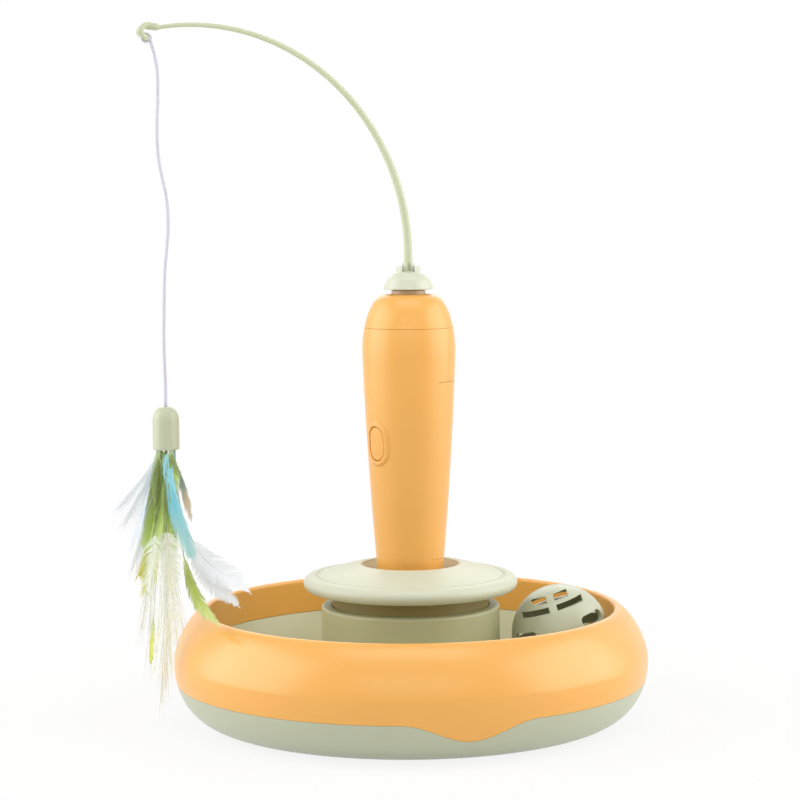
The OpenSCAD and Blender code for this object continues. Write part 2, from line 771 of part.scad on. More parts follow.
module wand_body() {
    bezel_l = button_l + 2 * bezel_w;
    bezel_span = 0.7 * bezel_l;
    rail_w = 2;
    rail_row = (board_w + rail_w + 0.4) / 2;
    shelf_x = -board_in - board_t - 0.6;
    lip_in = wand_wall + 1.5;
    lip_end = 3;
    tongue_end = lip_end + 1;
    tongue_out = -wand_wall - cover_gap;
    color(ORANGE)
        difference() {
            union() {
                difference() {
                    wand_shell(wand_foot_z, cap_seam_z, 0, -wand_wall);
                    rear_block(0, 2 * wand_belly_r, 4 * wand_belly_r, cover_low_z, cover_top_z);
                }
                translate([0, 0, wand_foot_z])
                    cylinder(r = wand_r(wand_foot_z) - wand_wall / 2, h = wand_wall);
                ring(wand_r(cradle_z) - wand_wall / 2, 10, cradle_z - 2, 2);
                ring(wand_r(frame_z) - wand_wall / 2, frame_r - 2, frame_z - 1.9, 1.9);
                intersection() {
                    at_button() linear_extrude(2 * wand_belly_r) stadium(bezel_l, button_w + 2 * bezel_w);
                    wand_shell(button_z - bezel_span, button_z + bezel_span, bezel_proud, -wand_wall / 2);
                }
                // Lip behind the cover's long edges: its root in the wall, then its tongue
                intersection() {
                    wand_shell(cover_low_z + lip_end, cover_top_z - lip_end, -wand_wall / 2, -lip_in);
                    rear_block(-3, -0.5, 4 * wand_belly_r, cover_low_z, cover_top_z);
                }
                intersection() {
                    wand_shell(cover_low_z + tongue_end, cover_top_z - tongue_end, tongue_out, 0.2 - lip_in);
                    rear_block(-1.5, 3, 4 * wand_belly_r, cover_low_z, cover_top_z);
                }
                // Shelf and rails of the control board
                intersection() {
                    wand_solid(board_low_z - 2, board_low_z + board_h + 1, -wand_wall / 2);
                    union() {
                        rear_block(shelf_x, -board_in + 0.8, 2 * rail_row, board_low_z - 1.5, board_low_z);
                        for (side = [-1, 1]) {
                            rear()
                                translate([-wand_belly_r, side * rail_row - rail_w / 2, board_low_z - 1])
                                    cube([wand_belly_r - board_in + 1.2, rail_w, board_h]);
                        }
                    }
                }
            }
            at_button() linear_extrude(2 * wand_belly_r) stadium(button_l, button_w);
        }
}

module dome_cap() {
    seam = cap_seam_z + 0.15;
    skirt_r = wand_r(cap_seam_z) - wand_wall - 0.2;
    skirt_in = skirt_r - 1.6;
    hole = tower_r + 0.8;
    roof_z = wand_top_z - wand_wall;
    color(ORANGE)
        revolve(concat(
            [[skirt_r, cap_seam_z - 5], [skirt_r, seam]],
            dome_line(dome_angle(0, seam), 90, 0),
            [[hole + 0.6, wand_top_z], [hole, wand_top_z - 0.6], [hole, roof_z]],
            dome_line(90, dome_angle(wand_wall, seam + 2), wand_wall),
            [[skirt_in, cap_seam_z + 1], [skirt_in, cap_seam_z - 5]]
        ));
}

module battery_cover() {
    reach = wand_r(screw_post_z);
    color(ORANGE)
        difference() {
            union() {
                intersection() {
                    wand_shell(cover_low_z + cover_gap, cover_top_z - cover_gap, 0, -wand_wall);
                    rear_block(cover_gap, 2 * wand_belly_r, 4 * wand_belly_r, cover_low_z, cover_top_z);
                }
                rear()
                    translate([cover_boss_x, 0, screw_post_z])
                        rotate([0, 90, 0])
                            cylinder(r = boss_r, h = reach - cover_boss_x - wand_wall / 2);
            }
            rear()
                translate([cover_boss_x - 1, 0, screw_post_z])
                    rotate([0, 90, 0])
                        cylinder(r = screw_r + screw_pass, h = reach);
            rear()
                translate([cover_boss_x + 2, 0, screw_post_z])
                    rotate([0, 90, 0])
                        cylinder(r = screw_head_r + 0.3, h = reach);
        }
}

module cover_screw() {
    color(STEEL)
        rear()
            translate([cover_boss_x + 2 + screw_head_h, 0, screw_post_z])
                rotate([0, -90, 0])
                    screw(l = 8);
}

module button_cap() {
    stem_gap = 2 * button_gap;
    color(ORANGE) {
        intersection() {
            at_button()
                translate([0, 0, flange_b])
                    linear_extrude(wand_belly_r)
                        stadium(button_l - stem_gap, button_w - stem_gap);
            wand_solid(button_z - button_l, button_z + button_l, button_proud);
        }
        at_button()
            translate([0, 0, flange_b])
                linear_extrude(flange_t)
                    stadium(button_l + 2.5, button_w + 1.6);
    }
}

module switch_plunger() {
    color("#2b2b2b")
        at_button()
            translate([0, 0, flange_b - 1.7])
                cylinder(r = plunger_r, h = 1.7);
}

module tact_switch() {
    color("#3c3f42")
        at_button()
            difference() {
                translate([-switch_w / 2, -switch_w / 2, board_in + board_t])
                    cube([switch_w, switch_w, switch_h]);
                translate([0, 0, board_in + board_t + 0.1])
                    cylinder(r = plunger_r + 0.1, h = switch_h);
            }
}

module control_board() {
    chip = 7;
    color("#2f6b45") {
        rear_block(-board_in - board_t, -board_in, board_w, board_low_z, board_low_z + board_h);
        rear_block(-board_in - cut, -board_in + 1, chip, board_low_z + 9, board_low_z + 9 + chip);
    }
}

module battery_cradle() {
    post_w = screw_post_w;
    cradle_h = cradle_top_z - cradle_z;
    color(FRAME_CREAM)
        difference() {
            union() {
                for (z = [cradle_z, cradle_top_z - cradle_t]) {
                    translate([0, 0, z]) cylinder(r = cradle_r, h = cradle_t);
                }
                intersection() {
                    ring(cradle_shell_r + 1.6, cradle_shell_r, cradle_z + cut, cradle_h - 2 * cut);
                    rear_block(-2 * cradle_r, -2, 4 * cradle_r, cradle_z, cradle_top_z);
                }
                rear_block(6, cover_boss_x - 0.3, post_w, cradle_top_z - cut, screw_post_z + post_w / 2);
            }
            rear()
                translate([7, 0, screw_post_z])
                    rotate([0, 90, 0])
                        cylinder(r = screw_r + screw_gap, h = cradle_r);
        }
}

module cell_places() {
    for (k = [0:2]) {
        rear() rotate([0, 0, 120 * k]) translate([cell_ring_r, 0, 0]) children();
    }
}
module battery_cells() {
    nub_h = 1.2;
    color("#8d9aa5")
        cell_places() {
            translate([0, 0, cell_z]) cylinder(r = cell_r, h = cell_l - nub_h);
            translate([0, 0, cell_z + cell_l - nub_h - cut]) cylinder(r = 1.9, h = nub_h + cut);
        }
}
module spring_contacts() {
    color(STEEL)
        cell_places()
            translate([0, 0, cradle_z + cradle_t]) {
                cylinder(r = 3.6, h = contact_t);
                translate([0, 0, contact_t - cut]) cylinder(r1 = 3.2, r2 = 1.8, h = spring_h + cut);
            }
}
module contact_plates() {
    color(STEEL)
        cell_places()
            translate([0, 0, cell_top_z]) cylinder(r = 3.6, h = contact_t);
}

module spur(teeth, z, w) {
    translate([0, 0, z])
        linear_extrude(w)
            polygon([for (k = [0:teeth - 1]) each tooth(teeth, k)]);
}
// Turns a follower so that a gap meets the driver's tooth in direction beta
function mesh_turn(beta, teeth) = beta + 180 - 180 / teeth;
module in_train(at = [0, 0]) {
    rotate([0, 0, train_turn]) translate([at[0], at[1], 0]) children();
}
module compound_gear(big_z, small_z, big_turn, small_turn) {
    difference() {
        union() {
            rotate([0, 0, big_turn]) spur(gear_teeth, big_z, gear_w);
            rotate([0, 0, small_turn]) spur(pinion_teeth, small_z, gear_w);
            translate([0, 0, big_z + gear_w - cut])
                cylinder(r = gear_m * pinion_teeth / 2 - dedendum, h = gear_step + 2 * cut);
        }
        translate([0, 0, big_z - 1]) cylinder(r = pin_r + run_gap, h = 3 * gear_w + 2);
    }
}
module first_gear() {
    color(GEAR_WHITE)
        in_train(first_at) compound_gear(layer_1, layer_2, 180, mesh_turn(120, pinion_teeth));
}
module second_gear() {
    color(GEAR_WHITE)
        in_train(second_at) compound_gear(layer_2, layer_3, 120, mesh_turn(0, pinion_teeth));
}
module output_gear() {
    color(GEAR_WHITE)
        in_train() {
            spur(gear_teeth, layer_3, gear_w);
            translate([0, 0, frame_z]) cylinder(r = stub_r, h = layer_3 - frame_z + cut);
            translate([0, 0, layer_3]) cylinder(r = shaft_r, h = shaft_top_z - layer_3);
        }
}
module motor_pinion() {
    color("#d9b25f")
        in_train(motor_at) {
            rotate([0, 0, mesh_turn(180, pinion_teeth)]) spur(pinion_teeth, layer_1, gear_w);
            translate([0, 0, frame_z - 5]) cylinder(r = motor_shaft_r, h = layer_1 - frame_z + 5 + cut);
        }
}
module motor_can() {
    color(STEEL)
        in_train(motor_at)
            difference() {
                union() {
                    translate([0, 0, frame_z - motor_l]) cylinder(r = motor_r, h = motor_l);
                    translate([0, 0, frame_z - motor_l - motor_nub_h]) cylinder(r = 3, h = motor_nub_h + 1);
                }
                translate([0, 0, frame_z - 6]) cylinder(r = motor_shaft_r + run_gap, h = 7);
            }
}
module gear_pins() {
    color(STEEL)
        for (at = [first_at, second_at]) {
            in_train(at)
                translate([0, 0, frame_z]) cylinder(r = pin_r, h = frame_top_z - frame_z + frame_t);
        }
}
module frame_posts() {
    for (turn = post_turns) {
        in_train() rotate([0, 0, turn]) translate([post_ring_r, 0, 0]) children();
    }
}
module frame_holes(z) {
    for (at = [first_at, second_at]) {
        in_train(at) translate([0, 0, z - 1]) cylinder(r = pin_r + press_gap, h = frame_t + 2);
    }
}
module gear_frame_lower() {
    color(FRAME_CREAM)
        difference() {
            union() {
                translate([0, 0, frame_z]) cylinder(r = frame_r, h = frame_t);
                frame_posts() translate([0, 0, frame_z]) cylinder(r = post_r, h = frame_top_z - frame_z);
            }
            frame_holes(frame_z);
            translate([0, 0, frame_z - 1]) cylinder(r = stub_r + run_gap, h = frame_t + 2);
            in_train(motor_at)
                translate([0, 0, frame_z - 1]) cylinder(r = motor_shaft_r + 0.6, h = frame_t + 2);
            frame_posts() translate([0, 0, frame_top_z - 5]) cylinder(r = 0.9, h = 6);
        }
}
module gear_frame_upper() {
    tower_in = tower_r - 2;
    plate_top = frame_top_z + frame_t;
    roof_z = tower_top_z - bush_h;
    color("#c9b78e")
        difference() {
            union() {
                translate([0, 0, frame_top_z]) cylinder(r = frame_r - 1, h = frame_t);
                translate([0, 0, plate_top - cut]) cylinder(r = tower_r, h = tower_top_z - plate_top + cut);
            }
            translate([0, 0, plate_top]) cylinder(r = tower_in, h = roof_z - plate_top);
            translate([0, 0, frame_top_z - 1]) cylinder(r = shaft_r + 0.4, h = frame_t + 2);
            translate([0, 0, roof_z - 1]) cylinder(r = bush_r, h = bush_h + 2);
            frame_holes(frame_top_z);
            frame_posts() translate([0, 0, frame_top_z - 1]) cylinder(r = 1.1, h = frame_t + 2);
        }
}
module frame_screws() {
    head_h = 1.2;
    color(STEEL)
        frame_posts() {
            translate([0, 0, frame_top_z - 4]) cylinder(r = 0.85, h = 4 + frame_t + cut);
            translate([0, 0, frame_top_z + frame_t]) cylinder(r = 1.7, h = head_h);
        }
}
module shaft_bush() {
    color("#c8a24e") ring(bush_r - press_gap, shaft_r + run_gap, tower_top_z - bush_h, bush_h);
}

module rotor_crown() {
    skirt_h = 5;
    shoulder_r = 7;
    prong_r = 3.2;
    hollow_r = crown_r - 2.2;
    prong_slot_w = 1.6;
    rod_bore_r = rod_r + 0.05;
    prong_top_z = socket_z + prong_h;
    profile = [
        [shaft_r + press_gap, crown_z + 2.4], [hollow_r - 1, crown_z + 2.4], [hollow_r, crown_z],
        [crown_r, crown_z], [crown_r, crown_z + 0.8], [crown_r - 0.7, crown_z + 2.6],
        [crown_r - 1.6, crown_z + skirt_h],
        [crown_r - 2.8, crown_z + skirt_h + 1.2], [shoulder_r + 1.2, socket_z - 0.6], [shoulder_r, socket_z],
        [prong_r, socket_z + 0.3], [prong_r - 0.1, prong_top_z - 0.6], [prong_r - 0.5, prong_top_z],
        [rod_bore_r, prong_top_z], [rod_bore_r, rod_foot_z], [0, rod_foot_z], [0, shaft_top_z],
        [shaft_r + press_gap, shaft_top_z]
    ];
    lug_r = 6;
    lug_wall = 1.4;
    lug_h = 3;
    lug_gap_w = 7;
    color(PALE_SAGE) {
        difference() {
            revolve(profile);
            for (turn = [0, 90]) {
                rotate([0, 0, turn + 8])
                    translate([-crown_r, -prong_slot_w / 2, rod_foot_z + 0.2])
                        cube([2 * crown_r, prong_slot_w, 2 * prong_h]);
            }
        }
        // Two curved lugs left and right of the prongs
        difference() {
            ring(lug_r, lug_r - lug_wall, socket_z - 1.2, lug_h + 1.2);
            translate([-lug_gap_w / 2, -crown_r, socket_z - 2]) cube([lug_gap_w, 2 * crown_r, 2 * lug_h]);
        }
    }
}

function rod_point(u) =
    let (a = rod_sweep * u)
    [rod_reach * (1 - cos(a)), rod_curve_z + rod_rise * sin(a)];
module rod() {
    curve = [for (i = [0:rod_steps]) rod_point(i / rod_steps)];
    points = concat([[0, rod_foot_z], [0, (rod_foot_z + rod_curve_z) / 2]], curve);
    thinning = [for (i = [0:rod_steps]) rod_r + (rod_tip_r - rod_r) * i / rod_steps];
    radii = concat([rod_r, rod_r], thinning);
    color("#cdd3a8") rotate([0, 0, rod_turn]) swept(points, radii, 10);
}

// The line of the rod's end, pointing on beyond the tip
module at_tip() {
    translate([tip_s, 0, tip_z]) rotate([0, 90 - tip_lean, 0]) children();
}
module rod_eyelet() {
    rotate([0, 0, rod_turn])
        color("#c6cc93")
            difference() {
                union() {
                    translate([eyelet_s, 0, eyelet_z])
                        rotate([0, 90, 0])
                            rotate_extrude()
                                translate([eyelet_r, 0]) circle(r = eyelet_bar_r, $fn = 32);
                    at_tip()
                        translate([0, 0, -sleeve_grip])
                            cylinder(r = sleeve_r, h = sleeve_grip + sleeve_ahead);
                }
                at_tip()
                    translate([0, 0, -sleeve_grip - 1])
                        cylinder(r = rod_tip_r + rod_play, h = sleeve_grip + 1 + rod_play);
            }
}

module string_loop() {
    color(STRING_WHITE)
        rotate([0, 0, rod_turn])
            translate([eyelet_s, 0, loop_z])
                rotate([90, 0, 0])
                    rotate_extrude()
                        translate([loop_r, 0]) circle(r = loop_bar_r, $fn = 24);
}

module teaser_string() {
    color(STRING_WHITE)
        rotate([0, 0, rod_turn])
            swept(string_route, [for (p = string_route) string_d / 2], 8);
}

module feather_cap() {
    cap_dome_h = 7;
    top_flat = 1.6;
    shoulder_z = lure_top_z - cap_dome_h;
    dome = [
        for (i = [0:8])
            let (a = 90 * i / 8)
            [top_flat + (lure_cap_r - top_flat) * cos(a), shoulder_z + cap_dome_h * sin(a)]
    ];
    color("#cbd0aa")
        translate([lure_at[0], lure_at[1], 0])
            revolve(concat(
                [[lure_cavity_r, lure_mouth_z], [lure_cap_r - 0.3, lure_mouth_z]],
                [[lure_cap_r, lure_mouth_z + 0.3]],
                dome,
                [[0, lure_top_z], [0, quill_top_z + 1.5], [lure_cavity_r, quill_top_z + 1.5]]
            ));
}

// A feather from its seat in the cap: root direction, then its curve's points as [right, forward, drop]
module feather(root_turn, reach, width, bare, facing = [0, -1, 0]) {
    root = [quill_ring_r * cos(root_turn), quill_ring_r * sin(root_turn), lure_mouth_z];
    way = concat([root], [for (p = reach * feather_share) [p[0], -p[1], lure_mouth_z - p[2]]]);
    seat = [root[0], root[1], quill_top_z];
    line = concat([seat], [for (i = [0:feather_steps]) bezier(way, i / feather_steps)]);
    full = width * feather_share;
    widths = concat([2 * quill_r], [for (i = [0:feather_steps]) vane_w(i / feather_steps, full, bare)]);
    count = len(line);
    front = unit(facing);
    rings = [
        for (i = [0:count - 1])
            let (along = unit(step_along(line, i)))
            let (side = unit(cross(along, front)))
            let (up = cross(side, along))
            let (thick = i < 3 ? 2 * quill_r : vane_t)
            for (k = [0:5])
                line[i] + side * widths[i] / 2 * cos(60 * k) + up * thick / 2 * sin(60 * k)
    ];
    translate([lure_at[0], lure_at[1], 0]) polyhedron(rings, ring_faces(count, 6), convexity = 6);
}
module plume_olive() {
    color("#7f8f3a") feather(-154, [[-4, 4, 16.8], [-6, 4.5, 32.8], [-11, 4.5, 49.8]], 11, 0.06);
}
module plume_lime() {
    color(FEATHER_LIME) feather(-60, [[1, 8.5, 20.8], [4, 9, 36.8], [10, 9, 58.8]], 9, 0.12);
}
module plume_turquoise() {
    color("#7fd0d8") feather(-34, [[6, 5.5, 15.8], [6, 6, 30.8], [12, 6, 52.8]], 6.5, 0.12);
}
module hackle_brown() {
    color("#8a7a5c") feather(58, [[6, -6, 10.8], [9, -6.5, 20.8], [13, -6.5, 37.8]], 5, 0.15);
}
module plume_white_left() {
    color(FEATHER_WHITE) feather(140, [[-8, -2.8, 10.8], [-13, -2.8, 21.8], [-25, -2.8, 37.8]], 10, 0.15);
}
module plume_pale_blue() {
    color("#d5eaf2") feather(173, [[-7, 0.8, 16.8], [-10, 0.8, 40.8], [-19, 0.8, 65.8]], 8, 0.12);
}
module plume_lime_left() {
    color("#c7da6e") feather(91, [[-3, -6, 25.8], [-6, -6, 48.8], [-12, -6, 78.8]], 8, 0.3);
}
module plume_white_right() {
    color(FEATHER_WHITE)
        feather(25, [[6, -3, 22.8], [13, -6, 40.8], [26, -8, 46.8], [43, 36, 68.8]], 15, 0.35, fan_facing);
}
module plume_lime_right() {
    color(FEATHER_LIME)
        feather(-8, [[6, 1.2, 22.8], [13, 2, 45.8], [22, 8, 56.8], [30, 56, 74.8]], 7, 0.45, fan_facing);
}
module hackle_cream() {
    color("#f1eed2") feather(-90, [[0, 12.5, 22.8], [1, 14, 74.8], [-3, 14, 124.8]], 9, 0.25);
}
module hackle_white() {
    color(FEATHER_WHITE) feather(-121, [[-5, 9, 28.8], [-9, 11, 68.8], [-9, 11, 105.8]], 8, 0.25);
}

base_pan();
rim_ring();
track_tray();
stand_plate();
foot_ring();
base_screws();
stand_screws();
ball_upper();
ball_lower();
ball_bell();
bell_pellet();
wand_body();
dome_cap();
battery_cover();
cover_screw();
button_cap();
switch_plunger();
control_board();
tact_switch();
battery_cradle();
battery_cells();
spring_contacts();
contact_plates();
motor_can();
motor_pinion();
first_gear();
second_gear();
output_gear();
gear_pins();
gear_frame_lower();
gear_frame_upper();
frame_screws();
shaft_bush();
rotor_crown();
rod();
rod_eyelet();
string_loop();
teaser_string();
feather_cap();
plume_olive();
plume_lime();
plume_turquoise();
hackle_brown();
plume_white_left();
plume_pale_blue();
plume_lime_left();
plume_white_right();
plume_lime_right();
hackle_cream();
hackle_white();
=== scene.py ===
"""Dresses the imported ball-track cat teaser and lights it for a studio picture."""

import math
import random

import bmesh
import bpy
from bpy.props import FloatProperty, FloatVectorProperty, PointerProperty
from mathutils import Matrix, Vector


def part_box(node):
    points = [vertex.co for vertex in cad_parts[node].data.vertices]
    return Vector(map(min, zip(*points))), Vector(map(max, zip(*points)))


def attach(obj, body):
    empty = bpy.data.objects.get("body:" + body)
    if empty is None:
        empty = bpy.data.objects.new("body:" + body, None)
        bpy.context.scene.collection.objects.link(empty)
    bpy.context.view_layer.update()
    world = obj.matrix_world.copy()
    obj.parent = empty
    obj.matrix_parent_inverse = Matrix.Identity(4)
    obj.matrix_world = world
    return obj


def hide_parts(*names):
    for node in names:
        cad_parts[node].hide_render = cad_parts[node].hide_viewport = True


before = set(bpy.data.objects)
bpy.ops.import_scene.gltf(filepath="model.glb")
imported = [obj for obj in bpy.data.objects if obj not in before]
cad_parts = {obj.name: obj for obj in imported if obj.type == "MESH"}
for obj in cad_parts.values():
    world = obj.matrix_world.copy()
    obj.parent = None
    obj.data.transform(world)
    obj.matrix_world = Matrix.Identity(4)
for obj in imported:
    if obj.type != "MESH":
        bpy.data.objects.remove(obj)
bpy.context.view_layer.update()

bl_info = {
    "name": "Ball-track cat teaser",
    "version": (1, 0, 0),
    "blender": (4, 5, 0),
    "location": "3D View > Sidebar > Teaser",
    "description": "Builds the shells, ball, wand, string and feathers of a cat teaser over its frame",
    "category": "Object",
}

MM = 0.001
TURN = math.tau


def srgb(red, green, blue):
    """A colour as seen on a screen, from 0 to 255, in the linear values that shaders take."""
    return tuple(((c / 255 + 0.055) / 1.055) ** 2.4 if c > 10 else c / 3295 for c in (red, green, blue))


def tint(colour, gain=1.0):
    """A colour with its alpha, made lighter or darker by a gain."""
    return tuple(min(1.0, c * gain) for c in colour[:3]) + (1.0,)


def shade_property(label, detail, red, green, blue):
    return FloatVectorProperty(
        name=label, description=detail, subtype="COLOR", size=3, min=0, max=1, default=srgb(red, green, blue)
    )


def length_property(label, detail, usual, low, high):
    return FloatProperty(
        name=label, description=detail, default=usual, min=low, max=high, subtype="DISTANCE", unit="LENGTH"
    )


class TeaserColours(bpy.types.PropertyGroup):
    """Colours of the moulded and soft pieces."""

    orange: shade_property("Orange", "Ring, wand and button", 244, 179, 84)
    sage: shade_property("Sage", "Pan and ball", 189, 194, 168)
    # Track sage is the pan's sage made yellower: a painted reflection of the orange ring on the track and hub
    track: shade_property("Track sage", "Ball track and hub", 192, 193, 154)
    pale_sage: shade_property("Pale sage", "Stand plate and crown", 214, 217, 194)
    rod: shade_property("Rod", "Curved rod and its eyelet", 206, 212, 178)
    cap: shade_property("Feather cap", "Bullet-shaped cap of the lure", 194, 199, 169)
    neck: shade_property("Neck", "Neck under the crown", 216, 186, 142)
    string: shade_property("String", "Hanging string and its loop", 222, 219, 232)


class TeaserForms(bpy.types.PropertyGroup):
    """Sizes that a user would change."""

    edge_round: length_property("Edge rounding", "Rounding of the moulded edges", 0.00035, 0.0001, 0.0006)
    grain_depth: length_property("Grain depth", "Depth of the moulded skin's grain", 0.000008, 0, 0.0003)
    barb_width: length_property("Barb width", "Width of a feather's barb at its root", 0.0005, 0.0002, 0.001)
    camera_distance: length_property("Camera distance", "Distance in front of the wand", 1.23, 0.8, 3)
    camera_height: length_property("Camera height", "Height of the camera above the floor", 0.269, 0.1, 1)


# Shader expressions


class Value:
    """A shader output that can be used in Python expressions."""

    def __init__(self, paint, socket):
        self.paint = paint
        self.socket = socket

    def maths(self, operation, first, second):
        return self.paint.node("ShaderNodeMath", {"operation": operation}, {0: first, 1: second})

    def __add__(self, other):
        return self.maths("ADD", self, other)

    def __radd__(self, other):
        return self.maths("ADD", other, self)

    def __sub__(self, other):
        return self.maths("SUBTRACT", self, other)

    def __rsub__(self, other):
        return self.maths("SUBTRACT", other, self)

    def __mul__(self, other):
        return self.maths("MULTIPLY", self, other)

    def __rmul__(self, other):
        return self.maths("MULTIPLY", other, self)

    def __pow__(self, other):
        return self.maths("POWER", self, other)

    def __gt__(self, other):
        return self.maths("GREATER_THAN", self, other)

    def __lt__(self, other):
        return self.maths("LESS_THAN", self, other)

    def __mod__(self, other):
        return self.maths("FLOORED_MODULO", self, other)


class Paint:
    """A node tree with one method for every kind of node."""

    def __init__(self, owner):
        owner.use_nodes = True
        self.owner = owner
        self.tree = owner.node_tree
        self.tree.nodes.clear()

    def node(self, kind, settings=None, inputs=None, out=0):
        made = self.tree.nodes.new(kind)
        for key, setting in (settings or {}).items():
            if key == "stops":
                self.set_stops(made.color_ramp.elements, setting)
            else:
                setattr(made, key, setting)
        for key, entry in (inputs or {}).items():
            if isinstance(entry, Value):
                self.tree.links.new(entry.socket, made.inputs[key])
            else:
                made.inputs[key].default_value = entry
        return Value(self, made.outputs[out]) if made.outputs else None

    @staticmethod
    def set_stops(elements, stops):
        while len(elements) > 1:
            elements.remove(elements[-1])
        elements[0].position, elements[0].color = stops[0]
        for place, colour in stops[1:]:
            elements.new(place).color = colour

    def point(self):
        return self.node("ShaderNodeTexCoord", out="Object")

    def noise(self, point, scale, detail=2.0, rough=0.5):
        inputs = {"Vector": point, "Scale": scale, "Detail": detail, "Roughness": rough}
        return self.node("ShaderNodeTexNoise", None, inputs)

    def attribute(self, name):
        return self.node("ShaderNodeAttribute", {"attribute_name": name}, out="Fac")

    def ramp(self, factor, stops):
        return self.node("ShaderNodeValToRGB", {"stops": stops}, {0: factor})

    def mix(self, factor, low, high, way="MIX"):
        settings = {"data_type": "RGBA", "blend_type": way}
        return self.node("ShaderNodeMix", settings, {0: factor, 6: low, 7: high}, 2)

    def stretch(self, point, scale):
        return self.node("ShaderNodeMapping", None, {"Vector": point, "Scale": scale})

    def bump(self, height, depth, strength=1.0):
        return self.node("ShaderNodeBump", None, {"Strength": strength, "Distance": depth, "Height": height})

    def surface(self, **inputs):
        named = {key.replace("_", " "): entry for key, entry in inputs.items()}
        shader = self.node("ShaderNodeBsdfPrincipled", None, named)
        self.node("ShaderNodeOutputMaterial", None, {0: shader})
        return self.owner


def new_paint(name):
    return Paint(bpy.data.materials.new(name))


def moulded_plastic(name, colour, rough=0.4, grain=1.0, coat=0.3, under=None):
    """Satin moulded plastic with a fine eroded grain; under gives another colour below a height, as painted
    shade.
    """
    depth = bpy.context.scene.teaser_forms.grain_depth
    paint = new_paint(name)
    point = paint.point()
    cloud = paint.noise(point, 28, 3)
    skin = paint.noise(point, 4200, 2, 0.6)
    flow = paint.noise(paint.stretch(point, (1, 1, 0.25)), 160, 3)
    tone = paint.mix(cloud, tint(colour, 0.96), tint(colour, 1.04))
    tone = paint.mix(0.06 * grain * skin, tone, tint(colour, 0.8))
    # Below the given height the colour is swapped, which paints shade there
    if under:
        height = paint.node("ShaderNodeSeparateXYZ", None, {0: point}, 2)
        tone = paint.mix(height < under[0], tone, tint(under[1]))
    return paint.surface(
        Base_Color=tone,
        Roughness=rough - 0.08 + 0.08 * skin + 0.08 * flow,
        Normal=paint.bump(skin + 0.35 * flow, depth * grain),
        Coat_Weight=coat,
        Coat_Roughness=0.25,
        Subsurface_Weight=0.04,
        Subsurface_Radius=(0.002, 0.0012, 0.0006),
    )


def turned_metal(name, colour, rough=0.28):
    """Drawn or turned metal with fine lines."""
    paint = new_paint(name)
    point = paint.point()
    lines = paint.noise(paint.stretch(point, (1, 1, 0.03)), 5200, 3)
    stain = paint.noise(point, 220, 4)
    return paint.surface(
        Base_Color=paint.mix(stain, tint(colour, 0.86), tint(colour, 1.05)),
        Metallic=1.0,
        Roughness=rough + 0.18 * lines + 0.08 * stain,
        Normal=paint.bump(lines, 0.00002),
    )


def ribbed_rubber(name, colour):
    """Matt rubber with a dusty bloom."""
    paint = new_paint(name)
    point = paint.point()
    bloom = paint.noise(point, 300, 5, 0.65)
    pores = paint.noise(point, 3600, 2)
    return paint.surface(
        Base_Color=paint.mix(bloom, tint(colour, 0.75), tint(colour, 1.3)),
        Roughness=0.7 + 0.2 * bloom,
        Normal=paint.bump(pores, 0.00008),
    )


def circuit_lacquer(name, colour):
    """Green lacquer over copper tracks."""
    paint = new_paint(name)
    point = paint.point()
    settings = {"offset": 0.5}
    inputs = {
        "Vector": paint.stretch(point, (0.7, 0.7, 1)), "Scale": 420.0, "Mortar Size": 0.03,
        "Color1": tint(colour), "Color2": tint(colour, 0.9), "Mortar": tint(colour, 1.7),
    }
    tracks = paint.node("ShaderNodeTexBrick", settings, inputs)
    raised = paint.node("ShaderNodeTexBrick", settings, inputs, 1)
    speck = paint.noise(point, 2400, 2)
    return paint.surface(
        Base_Color=paint.mix(0.2 * speck, tracks, tint(colour, 0.5)),
        Roughness=0.25 + 0.2 * speck,
        Normal=paint.bump(raised, 0.00005),
    )


# Height above a cell's foot at which its copper band begins, in metres
CELL_BAND = 0.034


def cell_wrapper(name):
    """Printed foil round a cell: a copper band at the top over plain grey."""
    paint = new_paint(name)
    point = paint.point()
    height = paint.node("ShaderNodeSeparateXYZ", None, {0: point}, 2)
    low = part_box("battery_cells")[0].z
    band = (height - low) > CELL_BAND
    wrinkle = paint.noise(paint.stretch(point, (1, 1, 0.2)), 900, 3)
    body = paint.mix(wrinkle, srgb(98, 104, 112) + (1,), srgb(126, 132, 140) + (1,))
    return paint.surface(
        Base_Color=paint.mix(band, body, srgb(196, 138, 88) + (1,)),
        Metallic=0.4 + 0.5 * band,
        Roughness=0.25 + 0.2 * wrinkle,
        Normal=paint.bump(wrinkle, 0.00003),
    )


def braided_cord(name, colour):
    """Smooth braided string, its pattern following the string's own length, with painted shade in the braid's
    grooves.
    """
    paint = new_paint(name)
    along = paint.attribute("along")
    around = paint.attribute("around")
    left = ((along * 260 + around * 4) % 1.0) - 0.5
    right = ((along * 260 - around * 4) % 1.0) - 0.5
    weave = left * left + right * right
    fluff = paint.noise(paint.point(), 2600, 3)
    return paint.surface(
        # The base colour darkens in the braid's grooves: painted shade
        Base_Color=paint.mix(weave * 1.6, tint(colour), tint(colour, 0.84)),
        Roughness=0.62 + 0.2 * fluff,
        Normal=paint.bump(0.6 * fluff - weave, 0.00018),
        Sheen_Weight=0.3,
    )


